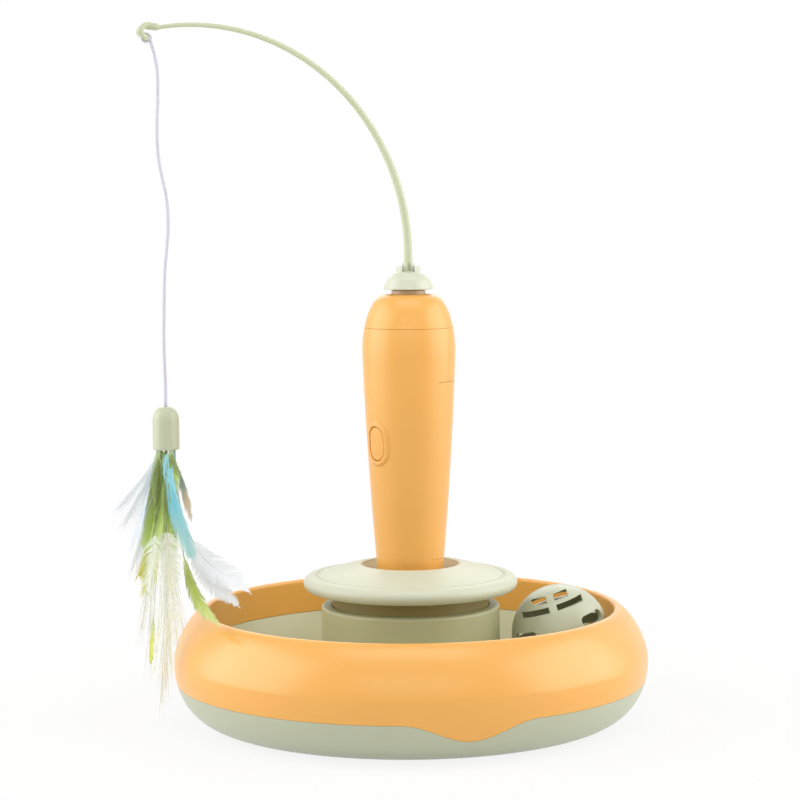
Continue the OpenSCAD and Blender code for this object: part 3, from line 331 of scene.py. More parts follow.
def feather_dye(name, stops, fade, vary):
    """Dyed barbs: the colour follows the feather's length, each barb a little different, with a faint painted
    glow for light through them.
    """
    paint = new_paint(name)
    along = paint.attribute("along")
    out = paint.attribute("out")
    chance = paint.attribute("chance")
    streak = paint.noise(paint.stretch(paint.point(), (1, 1, 0.3)), 900, 3)
    dye = paint.ramp(along + 0.16 * chance - 0.08, [(place, srgb(*rgb) + (1,)) for place, rgb in stops])
    dye = paint.mix(vary * chance, dye, (0.6, 0.62, 0.57, 1), "MULTIPLY")
    dye = paint.mix(0.35 * streak * out, dye, (0.95, 0.97, 0.93, 1))
    dye = paint.mix(0.4 * (out < 0.02), dye, (0.5, 0.46, 0.3, 1), "MULTIPLY")
    return paint.surface(
        Base_Color=dye,
        Roughness=0.55 + 0.3 * streak,
        Alpha=1 - fade * out ** 2,
        Normal=paint.bump(streak, 0.0001, 0.5),
        Sheen_Weight=0.25,
        # A faint glow of the barbs' own colour: painted light standing in for light through the barbs
        Emission_Color=dye,
        Emission_Strength=0.1,
    )


# Mesh helpers, all in millimetres until a piece is finished


def add_grid(bm, across, along, place):
    """A sheet of quads; place gives a vertex's position from its two indices."""
    made = bmesh.ops.create_grid(bm, x_segments=across, y_segments=along, size=0.5)["verts"]
    for vert in made:
        vert.co = place(round((vert.co.x + 0.5) * across), round((vert.co.y + 0.5) * along))
    return made


def close_up(bm):
    """Merges doubles, removes faces without area and turns all faces outwards."""
    bmesh.ops.remove_doubles(bm, verts=bm.verts, dist=0.0005)
    bmesh.ops.dissolve_degenerate(bm, edges=bm.edges, dist=0.0001)
    bmesh.ops.recalc_face_normals(bm, faces=bm.faces)
    return bm


def lathe(outline, steps=160):
    """Turns an outline of [radius, height] points round the upright axis."""
    bm = bmesh.new()
    verts = [bm.verts.new((r, 0, z)) for r, z in outline]
    pairs = list(zip(verts, verts[1:]))
    if outline[0][0] + outline[-1][0] > 0:
        pairs.append((verts[-1], verts[0]))
    edges = [bm.edges.new(pair) for pair in pairs]
    bmesh.ops.spin(
        bm, geom=verts + edges, cent=(0, 0, 0), axis=(0, 0, 1), angle=TURN, steps=steps, use_merge=True
    )
    return close_up(bm)


def swept_outlines(outlines):
    """Joins closed outlines that stand at even turns round the upright axis."""
    bm = bmesh.new()
    steps, count = len(outlines), len(outlines[0])

    def place(i, j):
        r, z = outlines[i % steps][j % count]
        turn = TURN * (i % steps) / steps
        return Vector((r * math.cos(turn), r * math.sin(turn), z))

    add_grid(bm, steps, count, place)
    return close_up(bm)


def rounded(points, radius, steps=4):
    """Rounds the corners of an open outline; a point may carry its own radius."""
    plain = [Vector(p[:2]) for p in points]
    made = [tuple(plain[0])]
    for i in range(1, len(plain) - 1):
        before, here, after = plain[i - 1], plain[i], plain[i + 1]
        reach = points[i][2] if len(points[i]) > 2 else radius
        into = before - here
        away = after - here
        reach = min(reach, 0.48 * into.length, 0.48 * away.length)
        if reach < 0.01 or into.angle(-away, 0) < 0.2:
            made.append(tuple(here))
            continue
        start = here + into.normalized() * reach
        stop = here + away.normalized() * reach
        for k in range(steps + 1):
            t = k / steps
            made.append(tuple(start * (1 - t) ** 2 + here * 2 * t * (1 - t) + stop * t * t))
    made.append(tuple(plain[-1]))
    return made


def tube(bm, path, radii, sides=16, up=Vector((0, 0, 1)), layers=None):
    """A closed tube along points; layers are float layers for its length and its turn."""
    last = len(path) - 1
    frames = []
    for i, spot in enumerate(path):
        along = (path[min(i + 1, last)] - path[max(i - 1, 0)]).normalized()
        side = along.cross(up).normalized()
        frames.append((spot, side, side.cross(along)))
    spots = {}

    def place(i, j):
        ring = min(max(j - 1, 0), last)
        spot, side, over = frames[ring]
        radius = 0 if j in (0, last + 2) else radii[ring]
        turn = TURN * i / sides
        where = spot + side * radius * math.cos(turn) + over * radius * math.sin(turn)
        spots[where.freeze()] = (ring / last, i / sides)
        return where

    made = add_grid(bm, sides, last + 2, place)
    if layers:
        for vert in made:
            vert[layers[0]], vert[layers[1]] = spots[vert.co.copy().freeze()]
    return made


def block(bm, low, high, matrix=Matrix()):
    """A box between two corners."""
    low, high = Vector(low), Vector(high)
    scale = Matrix.Diagonal((*(high - low), 1))
    bmesh.ops.create_cube(bm, size=1, matrix=matrix @ Matrix.Translation((low + high) / 2) @ scale)


def drum(bm, radius, low, high, matrix=Matrix(), segments=48):
    """A round bar between two heights."""
    lift = Matrix.Translation((0, 0, (low + high) / 2))
    bmesh.ops.create_cone(
        bm, cap_ends=True, segments=segments, radius1=radius, radius2=radius, depth=high - low,
        matrix=matrix @ lift,
    )


def stadium_point(length, width, turn):
    """Point of a stadium outline with its long side along X."""
    straight = (length - width) / 2
    return math.copysign(straight, math.cos(turn)) + width / 2 * math.cos(turn), width / 2 * math.sin(turn)


def stadium_block(bm, length, width, low, high, matrix):
    """A bar with a stadium outline between two heights."""
    segments = 48
    half = TURN / segments / 2
    made = bmesh.ops.create_circle(bm, cap_ends=True, segments=segments, radius=1)["verts"]
    for k, vert in enumerate(made):
        vert.co = (*stadium_point(length, width, half + TURN * k / segments), low)
    grown = bmesh.ops.extrude_face_region(bm, geom=[made[0].link_faces[0]])["geom"]
    raised = [part for part in grown if isinstance(part, bmesh.types.BMVert)]
    bmesh.ops.translate(bm, vec=(0, 0, high - low), verts=raised)
    bmesh.ops.transform(bm, matrix=matrix, verts=made + raised)
    bmesh.ops.recalc_face_normals(bm, faces=bm.faces)


def layered_mesh(*names):
    """An empty mesh with named float layers on its points."""
    bm = bmesh.new()
    return bm, [bm.verts.layers.float.new(name) for name in names]


def as_object(name, bm):
    """Makes an object of a shape that is still in millimetres."""
    bmesh.ops.scale(bm, vec=(MM, MM, MM), verts=bm.verts)
    mesh = bpy.data.meshes.new(name)
    bm.to_mesh(mesh)
    bm.free()
    made = bpy.data.objects.new(name, mesh)
    bpy.context.scene.collection.objects.link(made)
    return made


def bake(made):
    """Applies a piece's modifiers."""
    mesh = bpy.data.meshes.new_from_object(made.evaluated_get(bpy.context.evaluated_depsgraph_get()))
    old = made.data
    made.modifiers.clear()
    made.data = mesh
    bpy.data.meshes.remove(old)


def discard(made):
    """Removes an object with its mesh."""
    mesh = made.data
    bpy.data.objects.remove(made)
    bpy.data.meshes.remove(mesh)


def absorb(made, other):
    """Adds one object's mesh to another's and removes the first."""
    both = bmesh.new()
    for mesh in (made.data, other.data):
        both.from_mesh(mesh)
    both.to_mesh(made.data)
    both.free()
    discard(other)


def carve(made, tool, way="DIFFERENCE"):
    """Cuts a tool out of a piece, or keeps only what the two share."""
    cutter = as_object("cutter", tool)
    cut = made.modifiers.new("cut", "BOOLEAN")
    cut.operation, cut.solver, cut.object = way, "EXACT", cutter
    bake(made)
    discard(cutter)
    if not made.data.polygons:
        raise RuntimeError(f"nothing is left of {made.name} after its cut")


def soften(made, width, angle=38):
    """Rounds the sharp edges that a cut left."""
    bevel = made.modifiers.new("round", "BEVEL")
    bevel.width, bevel.segments, bevel.profile = width, 3, 0.5
    bevel.limit_method, bevel.angle_limit = "ANGLE", math.radians(angle)
    bake(made)


def finish_piece(made, material, body, *nodes, slot, sharp=40):
    """Shades a piece, gives it its material, hangs it on its body and hides the solids of the frame that it
    stands for.
    """
    mesh = made.data
    bm = bmesh.new()
    bm.from_mesh(mesh)
    for face in bm.faces:
        face.smooth = True
    for edge in bm.edges:
        edge.smooth = not edge.is_manifold or edge.calc_face_angle(0) < math.radians(sharp)
    bm.to_mesh(mesh)
    bm.free()
    mesh.materials.clear()
    mesh.materials.append(material)
    weigh = made.modifiers.new("weigh", "WEIGHTED_NORMAL")
    weigh.keep_sharp = True
    bake(made)
    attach(made, body)
    if nodes:
        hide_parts(*nodes)
    return made


def dress(finish, *names):
    """Gives its finish to solids of the frame that stay as they are."""
    for name in names:
        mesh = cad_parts[name].data
        mesh.materials.clear()
        mesh.materials.append(finish)


# Shapes that several pieces share, as in the part's source, in millimetres


# Height of the seam between ring and pan away from the drips, and the groove left in it
SEAM_Z, SEAM_GAP = 21.6, 0.06
# Directions of the two drips in degrees, their depth, half width and distance from the axis
DRIP_TURNS, DRIP_DEPTH, DRIP_HALF, DRIP_REACH = (-76, 104), 9, 33, 117.5
# Centre of the base's lower rounding and its half axes, in the outline's plane
SKIN_R, SKIN_Z, SKIN_ACROSS, SKIN_UP = 96, 30, 24, 29
# Centre and fullness of the ring's shoulder
SHOULDER_R, SHOULDER_Z, SHOULDER_FULL = 104.5, 33, 1.5
# Centre of the ball track's hollow and its radius
TRACK_R, TRACK_Z, TRACK_HOLLOW = 76, 50, 32
# Height and radius of the wand's belly, with the taper below it
BELLY_Z, BELLY_R, TAPER, TAPER_GROWTH = 187, 23.5, 0.036, 0.00023
# Centre distance and half axes of the dome above the belly
DOME_R, DOME_ACROSS, DOME_UP = 11.5, 12, 28.7
# Heights of the wand's foot, of the button's centre and of the cover's screw
WAND_FOOT_Z, BUTTON_Z, COVER_SCREW_Z = 46, 141.5, 138.7
QUARTER = math.pi / 2
UP = Vector((0, 0, 1))


def seam_height(turn):
    """Height of the drip-shaped seam in a direction, in radians."""
    low = SEAM_Z
    for centre in DRIP_TURNS:
        away = turn - math.radians(centre)
        side = DRIP_REACH * math.sin(away)
        if math.cos(away) > 0 and abs(side) < DRIP_HALF:
            low -= DRIP_DEPTH * (1 + math.cos(math.pi * side / DRIP_HALF)) / 2
    return low


def low_skin(z, inset=0.0):
    """Radius of the base's lower rounding at a height."""
    drop = (SKIN_Z - z) / (SKIN_UP - inset)
    return SKIN_R + (SKIN_ACROSS - inset) * math.sqrt(max(0, 1 - drop ** 2))


def track_height(r, hollow=TRACK_HOLLOW):
    """Height of the ball track at a radius."""
    return TRACK_Z - math.sqrt(hollow ** 2 - (r - TRACK_R) ** 2)


def wand_radius(z):
    """Radius of the wand's skin at a height."""
    if z <= BELLY_Z:
        return BELLY_R - TAPER * (BELLY_Z - z) - TAPER_GROWTH * (BELLY_Z - z) ** 2
    return DOME_R + DOME_ACROSS * math.sqrt(max(0, 1 - ((z - BELLY_Z) / DOME_UP) ** 2))


def spread(first, last, count):
    """Evenly spaced values from the first to the last."""
    return [first + (last - first) * i / (count - 1) for i in range(count)]


def arc(centre_r, centre_z, across, up, first, last, count):
    """Points [radius, height] on an ellipse between two angles in radians."""
    turns = spread(first, last, count)
    return [(centre_r + across * math.cos(a), centre_z + up * math.sin(a)) for a in turns]


def shoulder(across, up, first, last, count):
    """Points [radius, height] of the ring's shoulder, which is fuller than an ellipse."""
    made = []
    for a in spread(first, last, count):
        out, high = (max(0.0, share) ** (2 / SHOULDER_FULL) for share in (math.cos(a), math.sin(a)))
        made.append((SHOULDER_R + across * out, SHOULDER_Z + up * high))
    return made


def screw_seats():
    """Places of the six screws under the ball track."""
    turns = [math.radians(30 + 60 * k) for k in range(6)]
    return [Matrix.Translation((TRACK_R * math.cos(a), TRACK_R * math.sin(a), 0)) for a in turns]


COVER_FRAME = Matrix.Rotation(math.radians(40), 4, "Z")
# Local +X points up and local +Z out through the button
BUTTON_FRAME = COVER_FRAME @ Matrix.Translation((0, 0, BUTTON_Z)) @ Matrix.Rotation(-QUARTER, 4, "Y")
ROD_TURN = math.radians(192)
ROD_OUT = Vector((math.cos(ROD_TURN), math.sin(ROD_TURN), 0))
ROD_SIDE = ROD_OUT.cross(UP)


def on_rod_plane(s, z):
    """A point in the rod's plane, from its distance to the axis and its height."""
    return ROD_OUT * s + UP * z


class TeaserOperator:
    bl_options = {"REGISTER", "UNDO"}

    def execute(self, context):
        self.build(context.scene.teaser_colours, context.scene.teaser_forms)
        return {"FINISHED"}


class BuildStage(TeaserOperator, bpy.types.Operator):
    """Camera, floor, world and studio lights"""

    bl_idname = "teaser.stage"
    bl_label = "Stage"

    # Tilt up from straight down and roll of the camera in degrees, focal length, sensor and shift
    TILT, ROLL = 85.04, -0.4
    FOCAL, SENSOR, SHIFT = 110.16, 36, -0.0115
    # Place, size and power of each lamp, all turned towards the wand's middle
    SOFTBOXES = (
        ("left_softbox", (-1.1, -0.1, 0.45), (1.2, 1.2), 10.5),
        ("right_softbox", (1.1, -0.1, 0.45), (1.2, 1.2), 10.5),
        ("front_softbox", (0.0, -1.25, 0.7), (1.2, 0.5), 2.3),
        ("top_softbox", (0.0, -0.35, 1.3), (1.1, 0.6), 4.4),
        ("back_softbox", (0.0, 1.3, 0.9), (1.2, 0.8), 4.0),
    )
    AIM = Vector((0, 0, 0.14))
    # Strength of the white room on the object, where 1 is what the camera sees
    ROOM = 0.34

    def build(self, colours, forms):
        scene = bpy.context.scene
        scene.view_settings.view_transform = "Standard"
        lens = bpy.data.cameras.new("front_camera")
        lens.sensor_width, lens.lens, lens.shift_x = self.SENSOR, self.FOCAL, self.SHIFT
        lens.clip_end = 20
        camera = bpy.data.objects.new("front_camera", lens)
        camera.matrix_world = (
            Matrix.Translation((0, -forms.camera_distance, forms.camera_height))
            @ Matrix.Rotation(math.radians(self.TILT), 4, "X")
            @ Matrix.Rotation(math.radians(self.ROLL), 4, "Z")
        )
        scene.collection.objects.link(camera)
        scene.camera = camera
        self.floor()
        self.sky(scene)
        for name, spot, size, power in self.SOFTBOXES:
            self.softbox(scene, name, Vector(spot), size, power)

    def floor(self):
        bm = bmesh.new()
        cells, cell = 24, 250
        add_grid(bm, cells, cells, lambda i, j: Vector((i - cells / 2, j - cells / 2, 0)) * cell)
        floor = as_object("floor", bm)
        paint = new_paint("white_paper")
        fibre = paint.noise(paint.point(), 900, 3)
        paper = paint.mix(fibre, (0.86, 0.86, 0.85, 1), (0.9, 0.9, 0.89, 1))
        lit = paint.node("ShaderNodeBsdfDiffuse", None, {"Color": paper})
        glow = paint.node("ShaderNodeEmission", None, {"Color": (1, 1, 1, 1), "Strength": 1.0})
        # Near the object the paper keeps its shadow, further out it turns into the white room
        away = paint.node("ShaderNodeVectorMath", {"operation": "LENGTH"}, {0: paint.point()}, "Value")
        white = paint.node("ShaderNodeMapRange", None, {0: away, 1: 0.15, 2: 0.45, 3: 0.86, 4: 1.0})
        shader = paint.node("ShaderNodeMixShader", None, {0: white * self.seen(paint), 1: lit, 2: glow})
        paint.node("ShaderNodeOutputMaterial", None, {0: shader})
        floor.data.materials.append(paint.owner)

    @staticmethod
    def seen(paint):
        """1 for rays that see the room itself, directly or in a gloss or a clear piece."""
        kinds = ("Camera", "Glossy", "Transmission")
        rays = [paint.node("ShaderNodeLightPath", out=f"Is {kind} Ray") for kind in kinds]
        return rays[0].maths("MAXIMUM", rays[0], rays[1].maths("MAXIMUM", rays[1], rays[2]))

    def sky(self, scene):
        scene.world = bpy.data.worlds.new("white_room")
        paint = Paint(scene.world)
        strength = self.ROOM + (1 - self.ROOM) * self.seen(paint)
        back = paint.node("ShaderNodeBackground", None, {"Color": (1, 1, 1, 1), "Strength": strength})
        paint.node("ShaderNodeOutputWorld", None, {0: back})

    def softbox(self, scene, name, spot, size, power):
        light = bpy.data.lights.new(name, "AREA")
        light.shape, light.size, light.size_y, light.energy = "RECTANGLE", size[0], size[1], power
        lamp = bpy.data.objects.new(name, light)
        turn = (self.AIM - spot).to_track_quat("-Z", "Y")
        lamp.matrix_world = Matrix.Translation(spot) @ turn.to_matrix().to_4x4()
        lamp.visible_camera = False
        scene.collection.objects.link(lamp)


class BuildString(TeaserOperator, bpy.types.Operator):
    """Hanging string with its tied loop"""

    bl_idname = "teaser.string"
    bl_label = "String"

    # Distance from the wand's axis and height, as in the part's source
    ROUTE = (
        (128.2, 343.6), (127.7, 341), (127, 338.4), (126.2, 335.6), (125.4, 332), (124.7, 327.5),
        (124.5, 322), (124.5, 317), (124.6, 311), (125, 304), (125.2, 296), (125, 289), (124.2, 281),
        (122.9, 274), (121.4, 267), (120.6, 260), (120.4, 252), (120.8, 245), (121.6, 237), (122.4, 229),
        (122.8, 221), (123, 213), (123.2, 205), (123.4, 197), (123.4, 189), (123.2, 181), (123, 173),
        (123, 165), (123, 162),
    )
    RADIUS = 0.86
    # Centre, mean radius and half thickness of the loop, and start, fall, turn radius and half thickness
    # of the knot's two windings
    LOOP_AT, LOOP_R, LOOP_THICK = (129.9, 342.6), 2.1, 0.55
    KNOT_AT, KNOT_FALL, KNOT_R, KNOT_THICK = (128.1, 343.2), 1.6, 0.75, 0.5

    def build(self, colours, forms):
        cord = braided_cord("string_braid", colours.string)
        path = self.smooth_path()
        bm, layers = layered_mesh("along", "around")
        tube(bm, path, [self.RADIUS] * len(path), 16, ROD_SIDE, layers)
        close_up(bm)
        string = finish_piece(
            as_object("hanging_string", bm), cord, "lure", "teaser_string", slot="string_white", sharp=80
        )
        loop = self.loop(cord)
        metres = [spot * MM for spot in path]
        length = sum((b - a).length for a, b in zip(metres, metres[1:]))
        tuple(metres[0])
        [tuple(spot) for spot in metres]

    def smooth_path(self):
        """The route as one smooth curve through its points, four steps to each."""
        spots = [on_rod_plane(s, z) for s, z in self.ROUTE]
        ends = [spots[0]] + spots + [spots[-1]]
        made = []
        for before, a, b, after in zip(ends, ends[1:], ends[2:], ends[3:]):
            for k in range(4):
                t = k / 4
                made.append(
                    (a * 2 + (b - before) * t + (before * 2 - a * 5 + b * 4 - after) * t ** 2
                     + (a * 3 - before - b * 3 + after) * t ** 3) / 2
                )
        return made + [spots[-1]]

    def loop(self, cord):
        """The loop through the eyelet with a small wound knot under it."""
        bm, layers = layered_mesh("along", "around")
        centre = on_rod_plane(*self.LOOP_AT)
        rounds, sides, windings = 64, 12, 32

        def ring(i, j):
            a, b = TURN * i / rounds, TURN * j / sides
            reach = self.LOOP_R + self.LOOP_THICK * math.cos(b)
            where = centre + ROD_OUT * reach * math.sin(a) + UP * reach * math.cos(a)
            return where + ROD_SIDE * self.LOOP_THICK * math.sin(b)

        add_grid(bm, rounds, sides, ring)
        coil = []
        for k in range(windings + 1):
            spin = Matrix.Rotation(TURN * 2 * k / windings, 3, "Z") @ Vector((self.KNOT_R, 0, 0))
            coil.append(on_rod_plane(*self.KNOT_AT) - UP * self.KNOT_FALL * k / windings + spin)
        tube(bm, coil, [self.KNOT_THICK] * len(coil), 10)
        close_up(bm)
        # The braid goes on at about the string's own rate for each millimetre
        for vert in bm.verts:
            vert[layers[0]] = vert.co.z * 0.006
            vert[layers[1]] = 0.5
        loop = as_object("string_knot_loop", bm)
        return finish_piece(loop, cord, "loop", "string_loop", slot="string_white", sharp=80)


class BuildBase(TeaserOperator, bpy.types.Operator):
    """Pan, ring, track and stand plate"""

    bl_idname = "teaser.base"
    bl_label = "Base"

    # Sections round the ring and the pan
    STEPS = 480
    RING_WALL, LIP_INSET, PAN_INSET = 2.4, 2.7, 4.3
    # Rounding of the ring's edge and the pan's edge at the seam: how far behind the skin, and how high
    FOOT_EDGE = ((0.15, 0), (0.07, 0.02), (0.02, 0.07))
    PAN_EDGE = ((0.03, -0.07), (0.08, -0.02), (0.16, 0))
    # Height in metres below which the plate takes a darker colour: painted shade on its neck under the rim
    NECK_SHADE_TOP = 0.0655
    # Radius and top of the screw recesses under the pan, and radius and ends of the track's screw posts
    RECESS_R, RECESS_TOP = 3.2, 3.45
    POST_R, POST_LOW, POST_TOP = 4, 5.05, 17.2

    def build(self, colours, forms):
        orange = moulded_plastic("ring_orange", colours.orange, 0.34)
        sage = moulded_plastic("base_sage", colours.sage, 0.46)
        # The neck's olive colour is painted shade under the plate's rim
        neck = (self.NECK_SHADE_TOP, srgb(148, 136, 84))
        pale = moulded_plastic("plate_pale_sage", colours.pale_sage, 0.5, coat=0.1, under=neck)
        self.ring(orange)
        self.pan(sage)
        # The track's yellower sage is a painted reflection of the orange ring
        self.track(moulded_plastic("track_sage", colours.track, 0.46))
        self.plate(pale)
        dress(ribbed_rubber("foot_rubber", srgb(74, 78, 72)), "foot_ring")

    def ring(self, orange):
        outlines = []
        crest = shoulder(15.5, 24.5, 0, QUARTER, 36)
        lip = rounded(
            [crest[-1], (103.7, 57.3), (103.05, 56.6), (103, 55.5), (106, 38.87), (108.4, 38.87),
             (105.4, 52.5)], 0.5
        )
        back = shoulder(15.5 - self.RING_WALL, 24.5 - self.RING_WALL, math.radians(78), 0, 14)
        for k in range(self.STEPS):
            edge = seam_height(TURN * k / self.STEPS)
            skin = [(low_skin(z), z) for z in spread(edge + 0.3, SKIN_Z, 16)]
            foot = [(low_skin(edge, self.RING_WALL), edge)]
            foot += [(low_skin(edge + up) - back_off, edge + up) for back_off, up in self.FOOT_EDGE]
            inner = [(low_skin(z, self.RING_WALL), z) for z in spread(SKIN_Z, edge + 0.8, 10)]
            outlines.append(foot + skin + crest + lip[1:] + back + inner)
        ring = as_object("drip_ring", swept_outlines(outlines))
        finish_piece(ring, orange, "base", "rim_ring", slot="orange", sharp=55)

    def pan(self, sage):
        outlines = []
        lip_top, skin_steps = 26.1, 20
        under = rounded([(0.01, 1), (83.9, 1), (84, 2.2), (92, 2.2), (92.1, 1), (96, 1)], 0.25)
        for k in range(self.STEPS):
            edge = seam_height(TURN * k / self.STEPS) - SEAM_GAP
            low_a = math.asin((SKIN_Z - edge + 0.3) / SKIN_UP)
            skin = arc(SKIN_R, SKIN_Z, SKIN_ACROSS, -SKIN_UP, QUARTER, low_a, skin_steps)
            skin = [p for p in skin if p[1] < edge - 0.25]
            skin += [skin[-1]] * (skin_steps - len(skin))
            top = [(low_skin(edge) - back_off, edge + up) for back_off, up in self.PAN_EDGE]
            top.append((low_skin(edge, self.LIP_INSET), edge))
            lip = [(low_skin(z, self.LIP_INSET), z) for z in spread(edge + 0.4, lip_top, 6)]
            inner = [(low_skin(z, self.PAN_INSET), z) for z in spread(lip_top, 5.5, 10)]
            outlines.append(under + skin[1:] + top + lip + inner + [(96, 3.8), (84, 3.6), (0.01, 3.6)])
        pan = as_object("sage_pan", swept_outlines(outlines))
        recess = bmesh.new()
        for seat in screw_seats():
            drum(recess, self.RECESS_R, -1, self.RECESS_TOP, seat, 32)
        carve(pan, recess)
        finish_piece(pan, sage, "base", "base_pan", slot="sage", sharp=50)

    def track(self, sage):
        hub_foot, wall = 45.6, 2.4
        floor = [(r, track_height(r)) for r in spread(105.9, hub_foot, 64)]
        corner = rounded([(hub_foot, track_height(hub_foot)), (45.2, 41.6), (45.2, 57)], 0.8)
        hub = arc(43.6, 57, 1.6, 1.6, 0, QUARTER, 9)
        inside = rounded(
            [(43.6, 58.6), (40.1, 58.6, 0.6), (40.1, 56.2), (42.8, 56.2), (42.8, 30), (28.4, 30),
             (28.4, 27.6), (44.8, 27.6)], 0.4
        )
        under = [(r, track_height(r, TRACK_HOLLOW + wall)) for r in spread(45.4, 104, 40)]
        outline = [(110.4, 36.47), (110.4, 38.87), (106.2, 38.87)] + floor + corner + hub + inside[1:] + under
        bm = lathe(outline, 256)
        for seat in screw_seats():
            drum(bm, self.POST_R, self.POST_LOW, self.POST_TOP, seat, 32)
        finish_piece(as_object("ball_track", bm), sage, "base", "track_tray", slot="sage", sharp=45)

    @staticmethod
    def plate(pale):
        dome = [(25.7 + 21 * u, 79.5 - 5.7 * (0.7 * u + 0.3 * u * u)) for u in spread(0, 1, 18)]
        groove = [(46.85, 73.58), (47.05, 73.28), (47.5, 73.28), (47.75, 73.58), (48.2, 73.78)]
        rim = arc(49.4, 69.8, 4.8, 4, QUARTER, -QUARTER, 25)
        rim_foot, wall = 65.8, 2.8
        socket = [(wand_radius(z) + 0.4, z) for z in spread(WAND_FOOT_Z, rim_foot, 12)]
        mouth = rounded([socket[-1], (24.5, 78.6), (24.5, 79.1, 0.5), (25.7, 79.5, 0.4), dome[1]], 0.6)
        neck = rounded(
            [rim[-1], (39.8, rim_foot, 1.0), (39.8, 30), (37.4, 30), (37.4, 71.4), (27.9, 75.1),
             (wand_radius(rim_foot) + wall, rim_foot), (wand_radius(WAND_FOOT_Z) + wall, 43.6),
             (0.01, 43.6)], 0.5
        )
        outline = [(0.01, WAND_FOOT_Z)] + socket + mouth[1:-1] + dome[1:] + groove + rim + neck[1:]
        bm = lathe(outline, 224)
        finish_piece(as_object("mushroom_plate", bm), pale, "base", "stand_plate", slot="pale_sage", sharp=50)


class BuildBall(TeaserOperator, bpy.types.Operator):
    """Two slotted halves of the ball"""

    bl_idname = "teaser.ball"
    bl_label = "Ball"

    RADIUS, WALL = 24.7, 2.2
    # Place on the track and lean of the ball
    SEAT = Matrix.Translation((TRACK_R, 0, 43)) @ Matrix.Rotation(math.radians(-17), 4, "Y")
    # Heights and width of the long slots, and the wall left at each end
    SLOT_ROWS, SLOT_WIDTH, SLOT_WALL = (14.4, 19), 3, 2
    # Directions in degrees, height, length and width of the oval holes
    HOLE_TURNS, HOLE_Z, HOLE_LENGTH, HOLE_WIDTH = (49, 131, 229, -49), 5.35, 16, 5.5

    def build(self, colours, forms):
        # The ball's sage is the pan's made a tenth lighter: painted light lifting it out of the track's shade
        sage = moulded_plastic("ball_sage", tint(colours.sage, 1.1), 0.42)
        flip = Matrix.Rotation(math.pi, 4, "X")
        halves = (("ball_top", "ball_upper", self.SEAT), ("ball_bottom", "ball_lower", self.SEAT @ flip))
        for name, node, place in halves:
            half = as_object(name, self.half(place))
            carve(half, self.openings(place))
            soften(half, forms.edge_round)
            finish_piece(half, sage, "ball", node, slot="sage", sharp=48)

    def half(self, place):
        outer, inner = self.RADIUS, self.RADIUS - self.WALL
        outer_arc = [(outer * math.sin(a), outer * math.cos(a)) for a in spread(0, QUARTER - 0.004, 48)]
        inner_arc = [(inner * math.sin(a), inner * math.cos(a)) for a in spread(QUARTER - 0.0024, 0, 40)]
        bm = lathe([(0, outer)] + outer_arc[1:] + inner_arc[:-1] + [(0, inner)], 144)
        bmesh.ops.transform(bm, matrix=place, verts=bm.verts)
        return bm

    def openings(self, place):
        bm = bmesh.new()
        wall = self.SLOT_WALL
        for row in self.SLOT_ROWS:
            top = row + self.SLOT_WIDTH
            reach = math.sqrt(self.RADIUS ** 2 - top ** 2) - wall
            for low in (wall, -reach):
                block(bm, (low, -40, row), (low + reach - wall, 40, top), place)
        # Turns a shape so that its length lies round the ball and its depth points outwards
        lay = Matrix(((0, 0, 1, 0), (1, 0, 0, 0), (0, 1, 0, 0), (0, 0, 0, 1)))
        for turn in self.HOLE_TURNS:
            swing = place @ Matrix.Rotation(math.radians(turn - 90), 4, "Z")
            seat = swing @ Matrix.Translation((0, 0, self.HOLE_Z)) @ lay
            stadium_block(bm, self.HOLE_LENGTH, self.HOLE_WIDTH, 16, 30, seat)
        return bm


